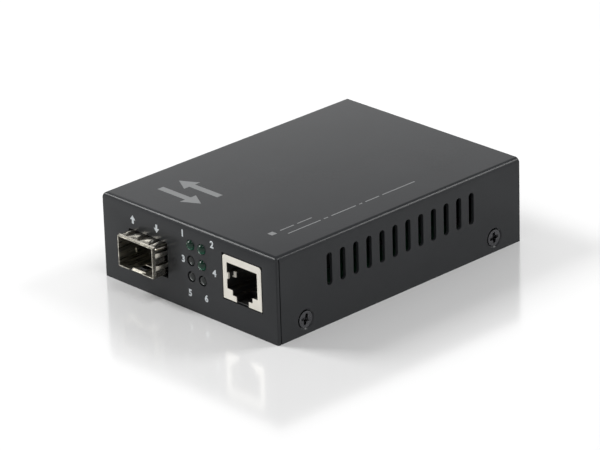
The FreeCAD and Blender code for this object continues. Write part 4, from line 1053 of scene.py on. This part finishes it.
def add_camera(settings):
    """A camera at a turn, height and roll, looking at a point near the converter's middle."""
    data = bpy.data.cameras.new("camera")
    data.lens = settings.focal_length
    data.sensor_width = 36.0
    data.clip_end = 20.0
    camera = bpy.data.objects.new("camera", data)
    bpy.context.scene.collection.objects.link(camera)
    turn = (Matrix.Rotation(settings.azimuth, 3, "Z")
            @ Matrix.Rotation(math.pi / 2 - settings.elevation, 3, "X")
            @ Matrix.Rotation(settings.roll, 3, "Z"))
    centre = Vector((0, 0, (COVER_LOW.z + COVER_HIGH.z) / 2))
    eye = centre + turn @ Vector((settings.aside, settings.above, settings.distance))
    camera.matrix_world = Matrix.Translation(eye) @ turn.to_4x4()
    bpy.context.scene.camera = camera


def add_softbox(name, place, size, power):
    """A square area light that faces the converter."""
    data = bpy.data.lights.new(name, "AREA")
    data.shape = "SQUARE"
    data.size = size
    data.energy = power
    light = bpy.data.objects.new(name, data)
    bpy.context.scene.collection.objects.link(light)
    aim = Vector(place) - Vector((0, 0, 10 * MM))
    light.matrix_world = Matrix.Translation(place) @ aim.to_track_quat("Z", "Y").to_matrix().to_4x4()


def add_world(settings):
    """White to the camera; to gloss, white below and dimmer overhead; a soft even light elsewhere."""
    world = bpy.data.worlds.new("studio")
    bpy.context.scene.world = world
    world.use_nodes = True
    tree = world.node_tree
    background = tree.nodes["Background"]
    background.inputs["Color"].default_value = (1, 1, 1, 1)
    height = height_of(tree, tree.nodes.new("ShaderNodeTexCoord").outputs["Generated"])
    full = settings.ceiling_low + math.radians(6)
    ceiling = map_range(tree, height, math.sin(settings.ceiling_low), math.sin(full), 1.0, settings.ceiling)
    ray = tree.nodes.new("ShaderNodeLightPath").outputs
    mirrored = calculate(tree, "MAXIMUM", ray["Is Glossy Ray"], ray["Is Transmission Ray"])
    strength = map_range(tree, mirrored, 0.0, 1.0, settings.ambient, ceiling)
    strength = map_range(tree, ray["Is Camera Ray"], 0.0, 1.0, strength, 1.0)
    tree.links.new(strength, background.inputs["Strength"])


def add_floor(settings):
    """A wide pale floor with a soft gloss."""
    deselect_all()
    bpy.ops.mesh.primitive_plane_add(size=8.0)
    floor = settle("floor")
    white = Surface("floor_white")
    white.tint(white.noise(3.0, 2.0), 0.2, 0.8, settings.floor, -0.004, 0.0)
    white.shader.inputs["Roughness"].default_value = 0.14
    white.shader.inputs["IOR"].default_value = 2.6
    floor.data.materials.append(white.material)


class CONVERTER_OT_stage(bpy.types.Operator):
    """Floor, soft light and camera"""
    bl_idname = "converter.stage"
    bl_label = "Stage"

    def execute(self, context):
        settings = context.scene.converter_stage
        context.scene.view_settings.view_transform = "Standard"
        add_camera(settings)
        add_world(settings)
        add_floor(settings)
        # Place and side in metres, and share of the main softbox's power.
        for name, place, size, share in (("softbox_left", (-0.66, -0.36, 0.66), 0.36, 1.0),
                                         ("softbox_rear", (0.38, 0.63, 0.68), 0.32, 0.5),
                                         ("softbox_above", (0.28, -0.05, 0.95), 0.22, 0.22)):
            add_softbox(name, place, size, settings.softbox * share)
        return {"FINISHED"}


class CONVERTER_PT_panel(bpy.types.Panel):
    """Every step of the converter, in order"""
    bl_idname = "CONVERTER_PT_panel"
    bl_label = "Fibre media converter"
    bl_space_type = "VIEW_3D"
    bl_region_type = "UI"
    bl_category = "Converter"

    def draw(self, context):
        for step in STEPS:
            self.layout.operator(step.bl_idname)


STEPS = (
    CONVERTER_OT_stage,
    CONVERTER_OT_solids,
    CONVERTER_OT_cover,
    CONVERTER_OT_tray,
    CONVERTER_OT_screws,
    CONVERTER_OT_lamps,
    CONVERTER_OT_collar,
    CONVERTER_OT_network_jack,
    CONVERTER_OT_power_inlet,
    CONVERTER_OT_print,
)
SETTINGS = {
    "converter_cover": ConverterCoverSettings,
    "converter_fittings": ConverterFittingSettings,
    "converter_print": ConverterPrintSettings,
    "converter_stage": ConverterStageSettings,
}


def register():
    for name, group in SETTINGS.items():
        bpy.utils.register_class(group)
        setattr(bpy.types.Scene, name, bpy.props.PointerProperty(type=group))
    for step in STEPS + (CONVERTER_PT_panel,):
        bpy.utils.register_class(step)


def unregister():
    for step in reversed(STEPS + (CONVERTER_PT_panel,)):
        bpy.utils.unregister_class(step)
    for name, group in reversed(SETTINGS.items()):
        delattr(bpy.types.Scene, name)
        bpy.utils.unregister_class(group)


def main():
    """Build everything in order."""
    register()
    for step in STEPS:
        group, name = step.bl_idname.split(".")
        getattr(getattr(bpy.ops, group), name)()
    deselect_all()


if __name__ == "__main__":
    main()
